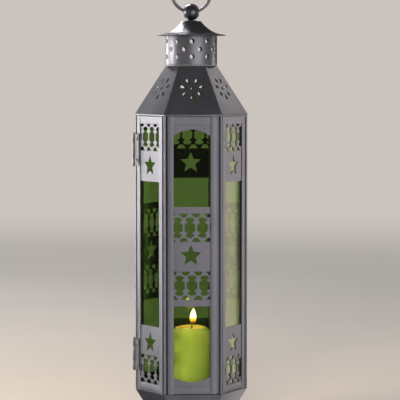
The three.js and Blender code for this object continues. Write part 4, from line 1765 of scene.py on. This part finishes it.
@dataclass
class Studio:
    """Camera, floor, sky and lights."""

    distance: float = 2.836
    azimuth: float = -2.05
    lens: float = 195.0
    eye_height: float = 0.469
    aim_height: float = 0.2975
    aim_side: float = 0.01135
    floor_radius: float = 6.0
    flame_power: float = 0.06
    flame_colour: Colour = (1.0, 0.62, 0.28)
    sky: Colour = (0.60, 0.555, 0.515)
    fill: Colour = (0.80, 0.80, 0.80)
    bounce: Colour = (0.23, 0.22, 0.225)
    back_dome: Colour = (0.035, 0.034, 0.036)
    low_dome: Colour = (0.14, 0.135, 0.14)
    high_dome: Colour = (0.05, 0.05, 0.055)
    panels: tuple[SoftPanel, ...] = (
        SoftPanel("left_strip_far", -137, 3, 8, 9, 6.3, colour=(1.0, 0.975, 0.96)),
        SoftPanel("left_strip_near", -99, 3, 10, 9, 6.3, colour=(1.0, 0.975, 0.96)),
        SoftPanel("right_strip", 118.05, -2, 4, 12, 2.6, colour=(1.0, 0.91, 0.91)),
        SoftPanel("right_high", 132, 27, 9, 7, 1.25, colour=(1.0, 0.95, 0.93)),
        SoftPanel("right_low", 149, -29, 13, 12, 0.8, colour=(1.0, 0.95, 0.93)),
        SoftPanel("front_right_window", 27, 0, 22, 20, 0.85, colour=(0.98, 0.96, 1.0)),
        SoftPanel("sky_left", -157, 43, 11, 17, 7.0),
        SoftPanel("wax_key_left", -66, 8, 14, 12, 58.0, mirrored=False, colour=(1.0, 0.71, 0.45)),
        SoftPanel("wax_key_front", -9, 8, 12, 12, 54.0, mirrored=False, colour=(1.0, 0.71, 0.45)),
    )

    def camera(self) -> None:
        """Places the camera."""
        data = bpy.data.cameras.new("camera")
        data.lens, data.sensor_width = self.lens, 36.0
        data.clip_start, data.clip_end = 0.05, 100.0
        holder = on_stage("camera", data)
        a = math.radians(self.azimuth)
        back = Vector((math.sin(a), -math.cos(a), 0.0))
        right = Vector((math.cos(a), math.sin(a), 0.0))
        holder.location = back * self.distance + Vector((0, 0, self.eye_height))
        aim = right * self.aim_side + Vector((0, 0, self.aim_height))
        holder.rotation_mode = "QUATERNION"
        holder.rotation_quaternion = (holder.location - aim).to_track_quat("Z", "Y")
        bpy.context.scene.camera = holder

    def floor(self) -> None:
        """Makes the pale round floor."""
        mesh = skinned([circle_ring(self.floor_radius * i / 8, 0.0, 96) for i in range(9)])
        bmesh.ops.recalc_face_normals(mesh, faces=mesh.faces)
        data = bpy.data.meshes.new("studio_floor")
        mesh.to_mesh(data)
        mesh.free()
        if data.polygons[0].normal.z < 0:
            data.flip_normals()
        floor = on_stage("studio_floor", data)
        data.materials.append(Seamless().material())
        floor.visible_glossy = False
        floor.visible_shadow = False

    def world(self) -> None:
        """Sets a pale sky for the camera, a dark dome for the metal's mirroring and an even fill."""
        world = bpy.data.worlds.new("studio")
        world.use_nodes = True
        bpy.context.scene.world = world
        g = Graph(world.node_tree)
        seen = g.add("ShaderNodeLightPath", {}, {}, "Is Camera Ray")
        mirrored = g.add("ShaderNodeLightPath", {}, {}, "Is Glossy Ray")
        way = g.add("ShaderNodeTexCoord", {}, {}, "Generated")
        up, behind = (g.add("ShaderNodeSeparateXYZ", {}, {0: way}, axis) for axis in "ZY")
        dome = g.blend(up.ramp(0.15, 0.6), self.low_dome, self.high_dome)
        dome = g.blend(behind.ramp(0.05, 0.4), dome, self.back_dome)
        dome = g.blend(up.ramp(-0.9, -0.65), self.bounce, dome)
        dome, fill, sky = (
            g.add("ShaderNodeBackground", {}, {"Color": colour, "Strength": 1.0})
            for colour in (dome, self.fill, self.sky)
        )
        light = g.add("ShaderNodeMixShader", {}, {0: mirrored, 1: fill, 2: dome})
        both = g.add("ShaderNodeMixShader", {}, {0: seen, 1: light, 2: sky})
        g.add("ShaderNodeOutputWorld", {}, {"Surface": both})

    def build(self) -> None:
        """Sets the whole studio."""
        self.camera()
        self.floor()
        self.world()
        for panel in self.panels:
            panel.hang(Vector((0, 0, 0.3)))
        candle = bpy.data.lights.new("candle_light", "POINT")
        candle.energy, candle.color, candle.shadow_soft_size = self.flame_power, self.flame_colour, 0.006
        holder = on_stage("candle_light", candle)
        holder.location = (0.001, 0.0, Extent.of("wick").high.z * MM + 0.016)
        bpy.context.scene.view_settings.view_transform = "Standard"


# ---------------------------------------------------------------- the build


def main() -> None:
    """Builds the lantern on its frame."""
    logging.basicConfig(level=logging.INFO, format="%(name)s: %(message)s")
    Studio().build()
    pewter = SheetMetal("pewter_sheet", (0.375, 0.37, 0.40), (0.455, 0.45, 0.48), 0.40)
    dark = SheetMetal("dark_pewter_sheet", (0.35, 0.345, 0.375), (0.43, 0.425, 0.455), 0.40)
    steel = SheetMetal("satin_steel", (0.40, 0.385, 0.39), (0.50, 0.48, 0.485), 0.34, (900.0, 900.0, 90.0))
    # Darker and glossier pewter for the cap, ball, seat and washer: its darkness is painted shade.
    shaded_pewter = SheetMetal("pewter_with_painted_shade", (0.23, 0.225, 0.25), (0.29, 0.285, 0.31), 0.31)
    finishes = {Slot.PEWTER: pewter, Slot.DARK_PEWTER: dark, Slot.FITTINGS: steel, Slot.GLASS: TintedGlass()}
    materials = {slot: finish.material() for slot, finish in finishes.items()}
    shop = Workshop(materials, shaded_pewter.material())
    rows, rounds, studs = PunchRow(), PunchRound(), StudRow()
    frames = SideFrames(shop)
    sheets = PiercedSheets(shop, rows, frames)
    for side in ALL_SIDES:
        frames.build(side)
        sheets.build(side)
        shop.dress(f"{side.name}_glass", Slot.GLASS)
    for part in (CornerPosts(shop), Base(shop), Roof(shop, rounds), Chimney(shop, rounds), Finial(shop, rows),
                 Hinges(shop, studs), Latch(shop), Candle(shop)):
        part.build()
    LOG.info("%d pieces made", shop.made)


if __name__ == "__main__":
    main()
